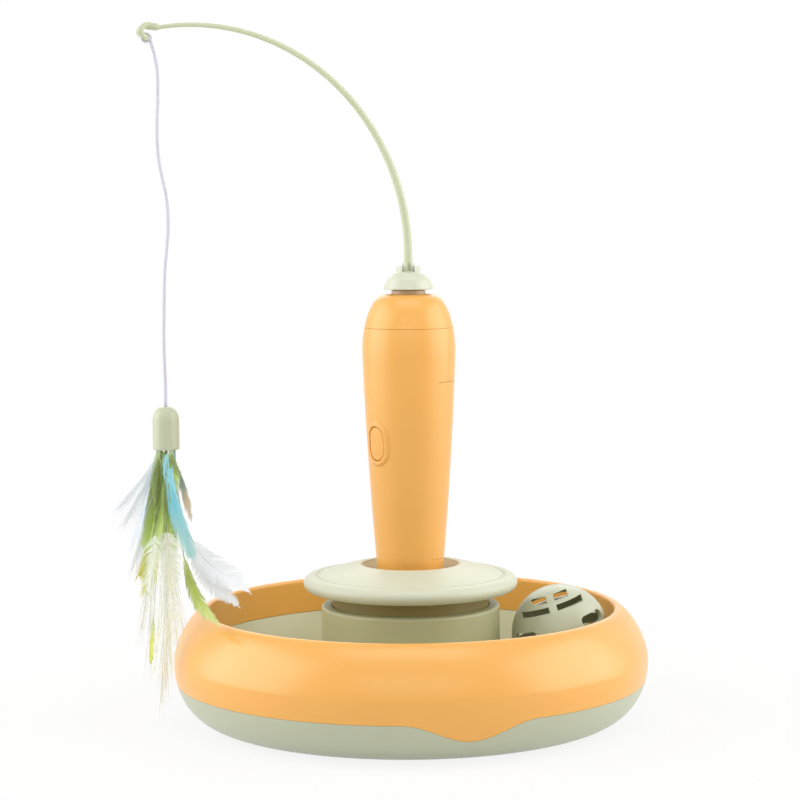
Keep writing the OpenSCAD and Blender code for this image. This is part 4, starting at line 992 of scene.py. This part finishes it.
class BuildWand(TeaserOperator, bpy.types.Operator):
    """Wand shell, battery cover, dome cap, bezel and button"""

    bl_idname = "teaser.wand"
    bl_label = "Wand"

    # Wall of the shells, and height of the seam under the dome cap
    WALL, CAP_SEAM_Z = 2.0, 199
    # Lowest and highest point of the opening at the back, and of the cover in it
    OPENING, COVER = (82.6, 172.4), (82.75, 172.2)
    # Length and width of the button's opening and of the button
    BUTTON_HOLE, BUTTON_SIZE = (17.5, 11), (17.05, 10.55)
    # Radius of the cover's screw hole, and radius, length and start behind the skin of its inner collar
    SCREW_HOLE_R, COLLAR_R, COLLAR_DEPTH, COLLAR_BACK = 3.1, 4, 6, 6.6
    # Share of the edge rounding that the thin seams take
    SEAM_ROUND = 0.4

    def build(self, colours, forms):
        orange = moulded_plastic("wand_orange", colours.orange, 0.36)
        self.body(orange, forms)
        self.cover(orange, forms)
        self.dome(orange)
        self.bezel(orange)
        self.button(orange)

    def shell(self, low, high):
        heights = spread(low, high, 72)
        outer = [(wand_radius(z), z) for z in heights]
        inner = [(wand_radius(z) - self.WALL, z) for z in reversed(heights)]
        return lathe(outer + inner, 160)

    def body(self, orange, forms):
        body = as_object("wand_shell", self.shell(WAND_FOOT_Z, self.CAP_SEAM_Z))
        gap = bmesh.new()
        block(gap, (0, -60, self.OPENING[0]), (60, 60, self.OPENING[1]), COVER_FRAME)
        carve(body, gap)
        hole = bmesh.new()
        stadium_block(hole, *self.BUTTON_HOLE, 5, 40, BUTTON_FRAME)
        carve(body, hole)
        soften(body, forms.edge_round * self.SEAM_ROUND)
        foot = bmesh.new()
        drum(foot, wand_radius(WAND_FOOT_Z) - 1, WAND_FOOT_Z, WAND_FOOT_Z + 2, segments=64)
        absorb(body, as_object("wand_foot", foot))
        finish_piece(body, orange, "wand", "wand_body", slot="orange", sharp=48)

    def cover(self, orange, forms):
        cover = as_object("wand_cover", self.shell(*self.COVER))
        keep = bmesh.new()
        block(keep, (0.04, -60, 60), (60, 60, 190), COVER_FRAME)
        carve(cover, keep, "INTERSECT")
        outward = Matrix.Rotation(QUARTER, 4, "Y")
        level = COVER_FRAME @ Matrix.Translation((0, 0, COVER_SCREW_Z))
        hole = bmesh.new()
        drum(hole, self.SCREW_HOLE_R, 5, 60, level @ outward)
        carve(cover, hole)
        soften(cover, forms.edge_round * self.SEAM_ROUND)
        inner, outer, depth = self.SCREW_HOLE_R, self.COLLAR_R, self.COLLAR_DEPTH
        collar = lathe([(inner, 0), (outer, 0), (outer, depth), (inner, depth)], 48)
        inside = Matrix.Translation((wand_radius(COVER_SCREW_Z) - self.COLLAR_BACK, 0, 0))
        bmesh.ops.transform(collar, matrix=level @ inside @ outward, verts=collar.verts)
        absorb(cover, as_object("screw_collar", collar))
        finish_piece(cover, orange, "cover", "battery_cover", slot="orange", sharp=48)

    def dome(self, orange):
        seam = self.CAP_SEAM_Z + 0.08
        start = math.asin((seam + 0.25 - BELLY_Z) / DOME_UP)
        skin = arc(DOME_R, BELLY_Z, DOME_ACROSS, DOME_UP, start, QUARTER, 40)
        inner = arc(DOME_R, BELLY_Z, DOME_ACROSS - self.WALL, DOME_UP - self.WALL, QUARTER, 0.55, 24)
        foot_r = wand_radius(seam)
        skirt_r = wand_radius(self.CAP_SEAM_Z) - 2.2
        skirt_inner, skirt_z = skirt_r - 1.6, 194
        foot = [
            (skirt_inner, 200), (skirt_inner, skirt_z), (skirt_r, skirt_z), (skirt_r, seam),
            (foot_r - 0.2, seam), (foot_r - 0.06, seam + 0.06),
        ]
        top = rounded([skin[-1], (9.4, 215.7, 0.7), (9.4, 213.7, 0.3), inner[0]], 0.5)
        bm = lathe(foot + skin + top[1:] + inner[1:], 160)
        finish_piece(as_object("wand_dome", bm), orange, "wand", "dome_cap", slot="orange", sharp=50)

    @staticmethod
    def on_wand(up, side, out):
        """A point on the wand's skin near the button, from the button's centre."""
        z = BUTTON_Z + up
        reach = math.sqrt((wand_radius(z) + out) ** 2 - side ** 2)
        return COVER_FRAME @ Vector((-reach, -side, z))

    def oval(self, name, orange, size, sides, rows, *node, body):
        """An oval on the wand's skin; each row gives a share of the size, a margin and a height."""
        bm = bmesh.new()

        def place(i, j):
            share, grow, out = rows[j]
            turn = TURN * (i + 0.5) / sides
            up, side = stadium_point(size[0] + 2 * grow, size[1] + 2 * grow, turn)
            return self.on_wand(up * share, side * share, out)

        add_grid(bm, sides, len(rows) - 1, place)
        close_up(bm)
        finish_piece(as_object(name, bm), orange, body, *node, slot="orange", sharp=60)

    def bezel(self, orange):
        profile = rounded(
            [(0, -1.6), (0, 0.75, 0.5), (0.7, 0.95, 0.4), (1.7, 0.85, 0.6), (2.4, 0.35, 0.5),
             (2.75, -0.15, 0.3), (2.9, -0.6)], 0.4
        )
        rows = [(1, grow, out) for grow, out in profile]
        self.oval("button_bezel", orange, self.BUTTON_HOLE, 112, rows, body="wand")

    def button(self, orange):
        rows = [(share, 0, 0.62 - 0.12 * share ** 2) for share in spread(0, 0.86, 12)]
        rows += [(0.93, 0, 0.5), (0.965, 0, 0.36), (0.985, 0, 0.1), (0.99, 0, -0.4), (0.99, 0, -3)]
        self.oval("push_button", orange, self.BUTTON_SIZE, 96, rows, "button_cap", body="button")


class BuildDrive(TeaserOperator, bpy.types.Operator):
    """Finishes of the parts inside the wand, the ball and the base"""

    bl_idname = "teaser.drive"
    bl_label = "Drive and fixings"

    def build(self, colours, forms):
        dress(
            turned_metal("drawn_steel", srgb(196, 198, 200)), "base_screws", "stand_screws", "cover_screw",
            "frame_screws", "gear_pins", "spring_contacts", "contact_plates", "motor_can", "bell_pellet",
        )
        brass = turned_metal("turned_brass", srgb(205, 172, 96), 0.25)
        dress(brass, "motor_pinion", "shaft_bush", "ball_bell")
        dress(moulded_plastic("switch_black", srgb(44, 44, 46), 0.5), "tact_switch", "switch_plunger")
        dress(moulded_plastic("holder_cream", srgb(230, 226, 214), 0.5), "battery_cradle", "gear_frame_lower")
        white = moulded_plastic("gear_acetal", srgb(242, 239, 228), 0.35)
        dress(white, "first_gear", "second_gear", "output_gear")
        dress(moulded_plastic("neck_beige", colours.neck, 0.4), "gear_frame_upper")
        dress(circuit_lacquer("board_green", srgb(44, 104, 66)), "control_board")
        dress(cell_wrapper("cell_foil"), "battery_cells")


class BuildRotor(TeaserOperator, bpy.types.Operator):
    """Crown, curved rod and its eyelet"""

    bl_idname = "teaser.rotor"
    bl_label = "Crown and rod"

    # Directions in degrees and half width of the slots between the crown's clamp prongs
    SLOT_TURNS, SLOT_HALF = (8, 98), 0.8
    # Share of the edge rounding that the crown takes
    CROWN_ROUND = 0.7

    def build(self, colours, forms):
        self.crown(moulded_plastic("crown_pale_sage", colours.pale_sage, 0.45), forms)
        self.rod(moulded_plastic("rod_sage", colours.rod, 0.6, 0.1, 0))
        self.eyelet(moulded_plastic("eyelet_sage", tint(colours.rod, 0.95), 0.6, 0.1, 0))

    def crown(self, pale, forms):
        outline = rounded(
            [(0.01, 225.8), (2.5, 225.8), (2.5, 220.6), (9.2, 220.6), (10.2, 218.2), (12.4, 218.2, 0.4),
             (12.45, 219, 0.4), (11.7, 220.8), (10.8, 223, 0.9), (9.6, 224.4), (8.4, 225.6), (7, 226.7, 1.0),
             (3.2, 227, 0.3), (3.1, 230.8, 0.3), (2.7, 231.4, 0.3), (2.15, 231.4, 0.2), (2.15, 227.2),
             (0.01, 227.2)], 0.5, 5
        )
        crown = as_object("bell_crown", lathe(outline, 128))
        slots = bmesh.new()
        for turn in self.SLOT_TURNS:
            swing = Matrix.Rotation(math.radians(turn), 4, "Z")
            block(slots, (-6.2, -self.SLOT_HALF, 227.4), (6.2, self.SLOT_HALF, 240), swing)
        carve(crown, slots)
        lug = rounded([(4.6, 225.8), (4.6, 229.8, 0.3), (6, 229.8, 0.6), (6, 225.6), (4.6, 225.5)], 0.4)
        lugs = as_object("lugs", lathe(lug, 96))
        gap = bmesh.new()
        block(gap, (-3.5, -12, 224), (3.5, 12, 240))
        carve(lugs, gap)
        absorb(crown, lugs)
        soften(crown, forms.edge_round * self.CROWN_ROUND)
        finish_piece(crown, pale, "rotor", "rotor_crown", slot="pale_sage", sharp=48)

    @staticmethod
    def rod(sage):
        thick, thin = 2.08, 1.0
        path = [on_rod_plane(0, z) for z in spread(227.25, 234, 6)]
        radii = [thick] * len(path)
        # The bow is part of an ellipse that starts upright
        steps, across, up, start_z, bow = 120, 107.017, 114, 235, math.radians(100)
        for k in range(steps + 1):
            a = bow * k / steps
            path.append(on_rod_plane(across * (1 - math.cos(a)), start_z + up * math.sin(a)))
            radii.append(thick - (thick - thin) * k / steps)
        bm = bmesh.new()
        tube(bm, path, radii, 24, ROD_SIDE)
        finish_piece(as_object("curved_rod", close_up(bm)), sage, "rotor", "rod", slot="rod_sage", sharp=60)

    @staticmethod
    def eyelet(sage):
        bm = bmesh.new()
        rounds, sides, ring_r, half_thick, half_wide = 96, 24, 3.1, 1.5, 1.6
        centre = on_rod_plane(129.7, 345.6)

        def ring(i, j):
            a, b = TURN * i / rounds, TURN * j / sides
            reach = ring_r + half_thick * math.cos(b)
            bow = ring_r * math.sin(a) ** 2
            where = centre + UP * reach * math.cos(a) + ROD_SIDE * reach * math.sin(a)
            return where + ROD_OUT * (half_wide * math.sin(b) + bow)

        add_grid(bm, rounds, sides, ring)
        # The sleeve over the rod's end rises a little outwards
        first, last = 123.6, 130
        path = [on_rod_plane(s, 347.7 + 0.12 * (s - first)) for s in spread(first, last, 12)]
        radii = [1.3, 1.65] + [1.8] * 9 + [1.6]
        tube(bm, path, radii, 24, ROD_SIDE)
        eyelet = as_object("rod_eyelet_ring", close_up(bm))
        finish_piece(eyelet, sage, "rotor", "rod_eyelet", slot="eyelet_sage", sharp=60)


class BuildLure(TeaserOperator, bpy.types.Operator):
    """Feather cap and the dyed feathers under it"""

    bl_idname = "teaser.lure"
    bl_label = "Feather lure"

    AXIS = ROD_OUT * 123
    # Heights of the cap's mouth and of the quills' upper ends, and the quills' distance from its axis
    MOUTH_Z, SEAT_Z, ROOT_R = 140.8, 148.8, 4.25
    # Radius of a quill and of a strand's quill
    QUILL_R, STRAND_R = 0.4, 0.2
    # How much the darkest barb of a plume and of a hackle is shaded
    PLUME_SHADE, HACKLE_SHADE = 0.3, 0.34
    # Directions that a feather's flat side faces
    FRONT, FAN = (0, -1, 0), (0.3, -0.9, 0.3)
    # Neighbouring quills of a feather face a little to either side, in degrees
    SWINGS = (0, 38, -38)
    # Splay at the root and at the tip in degrees, distance between barbs, barbs in a clump,
    # how far a clump draws together, share by which barbs differ, how late the vane is widest
    STYLES = {
        "vane": (30, 15, 0.40, 9, 0.25, 0.14, 0.75),
        "blade": (26, 14, 0.40, 9, 0.25, 0.12, 1.5),
        "fan": (60, 26, 0.36, 8, 0.3, 0.10, 0.6),
        "plume": (22, 11, 0.48, 7, 0.5, 0.25, 0.75),
        "wisp": (13, 7, 0.85, 4, 0.7, 0.45, 0.75),
        "strand": (9, 4, 3.6, 2, 0.4, 0.6, 0.75),
        "down": (70, 24, 0.45, 4, 0.4, 0.3, 0.4),
    }
    # Styles with barbs of half the width
    FINE = ("strand", "wisp", "down")
    # For each node: slot, root direction, facing, fade of the tips, dye along the length, and its quills
    # as points [right, forward, drop], width of the vane, bare share and style
    FEATHERS = {
        "plume_olive": (
            "feather_olive", -154, FRONT, 0.0,
            # The lightest stops at the root are partly pale strands, partly painted light against the shade
            # under the cap
            ((0, (226, 238, 204)), (0.14, (200, 218, 154)), (0.36, (132, 152, 60)), (0.6, (130, 150, 52)),
             (0.8, (156, 186, 70)), (1, (196, 220, 116))),
            ((((-3.4, 3.5, 8), (-3.2, 4.5, 22), (-6.5, 4.8, 36), (-10.5, 4.5, 49)), 11, 0.0, "vane"),
             (((-2.6, 4, 8), (-2.4, 5, 22), (-3.5, 5.5, 44)), 10, 0.0, "vane"),
             (((-2, 4.4, 8), (-0.6, 5.4, 22), (0.5, 5.8, 43)), 10, 0.0, "vane"),
             (((-2.5, 4, 4), (-3, 4.6, 12), (-3.5, 5, 26)), 9, 0.0, "vane"),
             (((-1, 4, 4), (0.5, 4.6, 12), (0, 5, 26)), 9, 0.0, "vane"),
             (((1, 4, 3), (3, 4.6, 9), (3.2, 5, 20)), 8, 0.0, "vane")),
        ),
        "plume_lime": (
            "feather_lime", -60, FRONT, 0.1,
            ((0, (216, 230, 186)), (0.22, (148, 166, 82)), (0.5, (140, 168, 56)), (0.8, (186, 210, 100)),
             (1, (222, 234, 178))),
            ((((3, 4.4, 4), (3.6, 6.4, 10), (3.8, 6.6, 19)), 7, 0.0, "vane"),
             (((1.5, 6, 12), (1.2, 7.4, 30), (3.5, 8, 53)), 10, 0.0, "plume"),
             (((0.5, 6, 12), (-2, 7.4, 30), (-6, 8, 54)), 9, 0.2, "plume"),
             (((0.5, 5.5, 12), (-0.5, 6.5, 30), (-1, 7, 50)), 10, 0.1, "plume")),
        ),
        "plume_turquoise": (
            "feather_turquoise", -34, FRONT, 0.0,
            ((0, (206, 232, 236)), (0.2, (160, 222, 232)), (0.6, (128, 214, 230)), (1, (190, 234, 234))),
            ((((3, 3, 4), (0.6, 9, 12), (2.6, 9.5, 24), (8, 8, 38), (12.8, 6, 54)), 8, 0.02, "blade"),
             (((0.5, 5, 2), (-0.4, 7, 6), (0.4, 7.4, 20)), 3.4, 0.0, "vane")),
        ),
        "hackle_brown": (
            "feather_brown", 58, FRONT, 0.1,
            ((0, (110, 96, 78)), (0.3, (170, 150, 124)), (0.6, (140, 172, 160)), (0.8, (232, 206, 176)),
             (1, (246, 234, 220))),
            ((((4.4, -4, 8), (7, -6, 18), (11.5, -6.5, 37)), 4, 0.3, "plume"),),
        ),
        "plume_white_left": (
            "feather_white", 140, FRONT, 0.5,
            ((0, (220, 236, 242)), (0.3, (238, 241, 246)), (1, (240, 242, 247))),
            ((((-6, -2.8, 8), (-11, -2.8, 17), (-25, -2.8, 30)), 8, 0.1, "wisp"),
             (((-6, -2.8, 9), (-11, -2.8, 20), (-22, -2.8, 38)), 8, 0.12, "wisp"),
             (((-5.5, -2.8, 10), (-9, -2.8, 24), (-18, -2.8, 44)), 7, 0.15, "wisp")),
        ),
        "plume_pale_blue": (
            "feather_blue", 173, FRONT, 0.35,
            ((0, (158, 208, 224)), (0.4, (182, 222, 234)), (0.7, (226, 235, 244)), (1, (236, 241, 247))),
            ((((-5, 0.8, 8), (-5.8, 1.8, 20), (-9, 1.8, 40)), 5, 0.0, "vane"),
             (((-5.5, 0.8, 12), (-8, 0.8, 34), (-18, 0.8, 60)), 8, 0.1, "wisp"),
             (((-6, 0.8, 14), (-9, 0.8, 34), (-20, 0.8, 50)), 7, 0.2, "wisp")),
        ),
        "plume_lime_left": (
            "feather_lime", 91, FRONT, 0.3,
            ((0, (120, 136, 60)), (0.3, (150, 170, 80)), (0.5, (222, 232, 166)), (0.75, (206, 216, 84)),
             (1, (224, 224, 84))),
            ((((-3, -6, 26), (-6, -6, 46), (-12, -6, 73)), 9, 0.25, "plume"),
             (((-3, -6, 26), (-8, -6, 46), (-15, -6, 64)), 7, 0.4, "plume"),
             (((-2, 4, 30), (-6, 10, 66), (-7.8, 12.5, 105)), 3.6, 0.8, "vane")),
        ),
        "plume_white_right": (
            "feather_white", 25, FAN, 0.3,
            ((0, (150, 190, 200)), (0.3, (232, 240, 244)), (0.5, (236, 239, 243)), (1, (240, 242, 245))),
            ((((4, -3, 24), (8, -5, 64), (24, -3, 56), (43, 30, 68)), 16, 0.47, "fan"),
             (((4, -3, 24), (9, -5, 64), (22, -2, 66), (37, 22, 76)), 12, 0.5, "fan")),
        ),
        "plume_lime_right": (
            "feather_lime", -8, FAN, 0.05,
            ((0, (150, 190, 180)), (0.4, (206, 216, 170)), (0.6, (148, 164, 52)), (0.8, (184, 200, 88)),
             (1, (216, 222, 128))),
            ((((5, 1.2, 30), (6, 2, 60), (13, 12, 76), (29.5, 50, 80)), 7.5, 0.5, "vane"),),
        ),
        "hackle_cream": (
            "feather_cream", -90, FRONT, 0.4,
            ((0, (110, 126, 50)), (0.42, (130, 148, 60)), (0.53, (232, 240, 226)), (0.7, (238, 239, 222)),
             (1, (238, 236, 206))),
            ((((0, 9, 20), (0.5, 14, 62), (-3, 14, 124)), 8, 0.5, "strand"),
             (((0, 9, 20), (0.8, 14, 62), (-0.5, 14, 117)), 8, 0.5, "strand"),
             (((0, 9, 20), (1, 14, 60), (2.5, 14, 106)), 8, 0.5, "strand"),
             (((0, 9, 20), (1.5, 14, 58), (5.5, 14, 99)), 8, 0.5, "strand"),
             (((0, 9, 20), (2, 14, 56), (8.5, 14, 90)), 8, 0.5, "strand"),
             (((0, 9, 20), (-1, 14, 58), (-6, 14, 110)), 7, 0.5, "strand"),
             (((0, 9, 20), (1, 14, 40), (3, 15, 70)), 19, 0.62, "down")),
        ),
        "hackle_white": (
            "feather_white", -121, FRONT, 0.5,
            ((0, (110, 126, 50)), (0.42, (130, 148, 60)), (0.53, (232, 240, 228)), (0.85, (238, 240, 226)),
             (1, (240, 242, 234))),
            ((((-4, 7, 28), (-8, 11, 62), (-8.5, 11, 104)), 8, 0.5, "strand"),
             (((-4, 7, 28), (-8, 11, 56), (-12.5, 11, 88)), 9, 0.5, "strand"),
             (((-3, 7, 26), (-5, 12, 44), (-9, 13, 70)), 17, 0.6, "down"),
             (((-3, 7, 26), (0, 12, 44), (6, 13, 64)), 15, 0.6, "down")),
        ),
    }

    def build(self, colours, forms):
        self.cap(moulded_plastic("cap_sage", colours.cap, 0.42))
        for node, row in self.FEATHERS.items():
            self.feather(forms, node, *row)

    def cap(self, sage):
        dome = arc(1.6, 155, 5, 7, 0, QUARTER, 20)
        low = self.MOUTH_Z
        wall = rounded([(5.2, 150.3), (5.2, low, 0.3), (6.4, low, 0.3), (6.6, 141.6), dome[0]], 0.3)
        hole = rounded([dome[-1], (1.1, 162, 0.3), (0.95, 160.5), (0.01, 160.5)], 0.3)
        bm = lathe([(0.01, 150.3)] + wall + dome[1:] + hole[1:], 96)
        bmesh.ops.translate(bm, vec=self.AXIS, verts=bm.verts)
        finish_piece(as_object("bullet_cap", bm), sage, "lure", "feather_cap", slot="cap_sage", sharp=50)
        plug = lathe(rounded([(0.01, 141.4), (3.2, 141.5), (5.1, 142.3), (5.1, 144), (0.01, 144)], 0.4), 48)
        bmesh.ops.translate(plug, vec=self.AXIS, verts=plug.verts)
        glue = moulded_plastic("quill_glue", srgb(196, 128, 58), 0.3, 4)
        finish_piece(as_object("quill_plug", plug), glue, "lure", slot="feather_brown", sharp=60)

    def feather(self, forms, node, slot, root_turn, facing, fade, dye, quills):
        chance = random.Random(node)
        turn = math.radians(root_turn)
        root = self.AXIS + Vector((self.ROOT_R * math.cos(turn), self.ROOT_R * math.sin(turn), self.MOUTH_Z))
        bm, layers = layered_mesh("along", "out", "chance")
        for k, (points, width, bare, style) in enumerate(quills):
            swing = self.SWINGS[k % 3] if facing == self.FRONT else 0
            front = Matrix.Rotation(math.radians(swing), 3, "Z") @ Vector(facing).normalized()
            ways = [root] + [self.AXIS + Vector((u, -d, self.MOUTH_Z - drop)) for u, d, drop in points]
            breadth = forms.barb_width / MM * (0.5 if style in self.FINE else 1)
            thick = self.STRAND_R if style == "strand" else self.QUILL_R
            self.quill(bm, layers, ways, front, thick)
            for side in (-1, 1):
                self.barbs(bm, layers, chance, ways, front, side, width, bare, self.STYLES[style], breadth)
        bmesh.ops.remove_doubles(bm, verts=bm.verts, dist=0.0002)
        plume = as_object(node.replace("plume", "dyed").replace("hackle", "fine"), bm)
        shade = self.HACKLE_SHADE if "hackle" in node else self.PLUME_SHADE
        dyed = feather_dye(node + "_dye", dye, fade, shade)
        finish_piece(plume, dyed, "lure", node, slot=slot, sharp=180)

    @staticmethod
    def bezier(spots, t):
        """The point at a share of the curve that its guide points draw."""
        while len(spots) > 1:
            spots = [a.lerp(b, t) for a, b in zip(spots, spots[1:])]
        return spots[0]

    def quill(self, bm, layers, ways, front, radius):
        """The shaft, from its seat in the cap to the feather's tip."""
        spine = [self.bezier(ways, t) for t in spread(0, 1, 49)]
        seat = ways[0] + Vector((0, 0, self.SEAT_Z - self.MOUTH_Z))
        radii = [radius, radius] + [radius * (1 - 0.8 * t) for t in spread(0, 1, 49)]
        made = tube(bm, [seat, seat.lerp(ways[0], 0.5)] + spine, radii, 8, front)
        drop = max(1, ways[0].z - ways[-1].z)
        for vert in made:
            vert[layers[0]] = min(1, max(0, (ways[0].z - vert.co.z) / drop))

    def barbs(self, bm, layers, chance, ways, front, side, width, bare, style, barb_width):
        """One side of a vane: thin ribbons in clumps that lean together."""
        splay_root, splay_tip, pitch, clump, draw, differ, late = style
        spine = [self.bezier(ways, t) for t in spread(0, 1, 33)]
        length = sum((b - a).length for a, b in zip(spine, spine[1:]))
        count = max(4, int(length * (1 - bare) / pitch))
        rows = 5
        made = []
        left = 0
        for k in range(count):
            t = bare + (1 - bare) * (k + chance.random() * 0.6) / count
            if left == 0:
                left = max(2, int(clump * chance.uniform(0.5, 1.6)))
                lean, lift = chance.uniform(-1, 1), chance.uniform(-1, 1)
                gather = draw * chance.uniform(0.6, 1.3)
                middle = t + (1 - bare) * left / count / 2
            left -= 1
            u = (t - bare) / (1 - bare)
            half = 0.5 * width * max(0.42 * (1 - u) ** 3, math.sin(math.pi * min(1, u + 0.02) ** late) ** 0.8)
            angle = splay_root + (splay_tip - splay_root) * u
            angle = math.radians(angle * (1 + differ * (0.8 * lean + 0.5 * chance.uniform(-1, 1))))
            reach = half / math.sin(max(0.05, angle)) * (1 + differ * chance.uniform(-1, 0.7))
            reach = max(0.6, min(reach, (1.06 - t) * length / math.cos(angle) + 1.5))
            spot = self.bezier(ways, t)
            along = (self.bezier(ways, min(1, t + 0.01)) - self.bezier(ways, t - 0.01)).normalized()
            across = along.cross(front).normalized()
            over = across.cross(along)
            shift = (middle - t) * length * gather
            lifted = lift + chance.uniform(-0.4, 0.4)
            made.append((t, angle, reach, spot, along, across * side, over, shift, lifted, chance.random()))
        marks = {}

        def place(i, j):
            t, angle, reach, spot, along, across, over, shift, lift, luck = made[i // 2]
            out = j / rows
            run = reach * out
            where = spot + along * (run * math.cos(angle) * (1 + 0.12 * out) + shift * out * out)
            where += across * run * math.sin(angle) * (1.12 - 0.2 * out)
            where += over * (0.25 + lift * 0.8 * out * out)
            breadth = barb_width * (1 - 0.82 * out ** 1.5) * (i % 2 - 0.5)
            where += (across * math.cos(angle) - along * math.sin(angle)) * breadth
            marks[where.freeze()] = (i, min(1, t + run * math.cos(angle) / length), out, luck)
            return where

        columns = {}
        verts = add_grid(bm, 2 * count - 1, rows, place)
        for vert in verts:
            columns[vert], vert[layers[0]], vert[layers[1]], vert[layers[2]] = marks[vert.co.copy().freeze()]
        # The faces between two neighbouring ribbons go
        faces = {face for vert in verts for face in vert.link_faces}
        between = [face for face in faces if min(columns.get(vert, 0) for vert in face.verts) % 2]
        bmesh.ops.delete(bm, geom=between, context="FACES")


class TeaserPanel(bpy.types.Panel):
    """Steps, colours and sizes of the teaser"""

    bl_idname = "VIEW3D_PT_teaser"
    bl_label = "Cat teaser"
    bl_space_type = "VIEW_3D"
    bl_region_type = "UI"
    bl_category = "Teaser"

    def draw(self, context):
        for step in STEPS:
            self.layout.operator(step.bl_idname)
        for group in (context.scene.teaser_colours, context.scene.teaser_forms):
            for name in group.__annotations__:
                self.layout.prop(group, name)


STEPS = (BuildStage, BuildString, BuildBase, BuildBall, BuildWand, BuildDrive, BuildRotor, BuildLure)
CLASSES = (TeaserColours, TeaserForms, *STEPS, TeaserPanel)


def register():
    for kind in CLASSES:
        bpy.utils.register_class(kind)
    bpy.types.Scene.teaser_colours = PointerProperty(type=TeaserColours)
    bpy.types.Scene.teaser_forms = PointerProperty(type=TeaserForms)


def unregister():
    del bpy.types.Scene.teaser_forms
    del bpy.types.Scene.teaser_colours
    for kind in reversed(CLASSES):
        bpy.utils.unregister_class(kind)


def main():
    register()
    for step in STEPS:
        group, name = step.bl_idname.split(".")
        getattr(getattr(bpy.ops, group), name)()


if __name__ == "__main__":
    main()
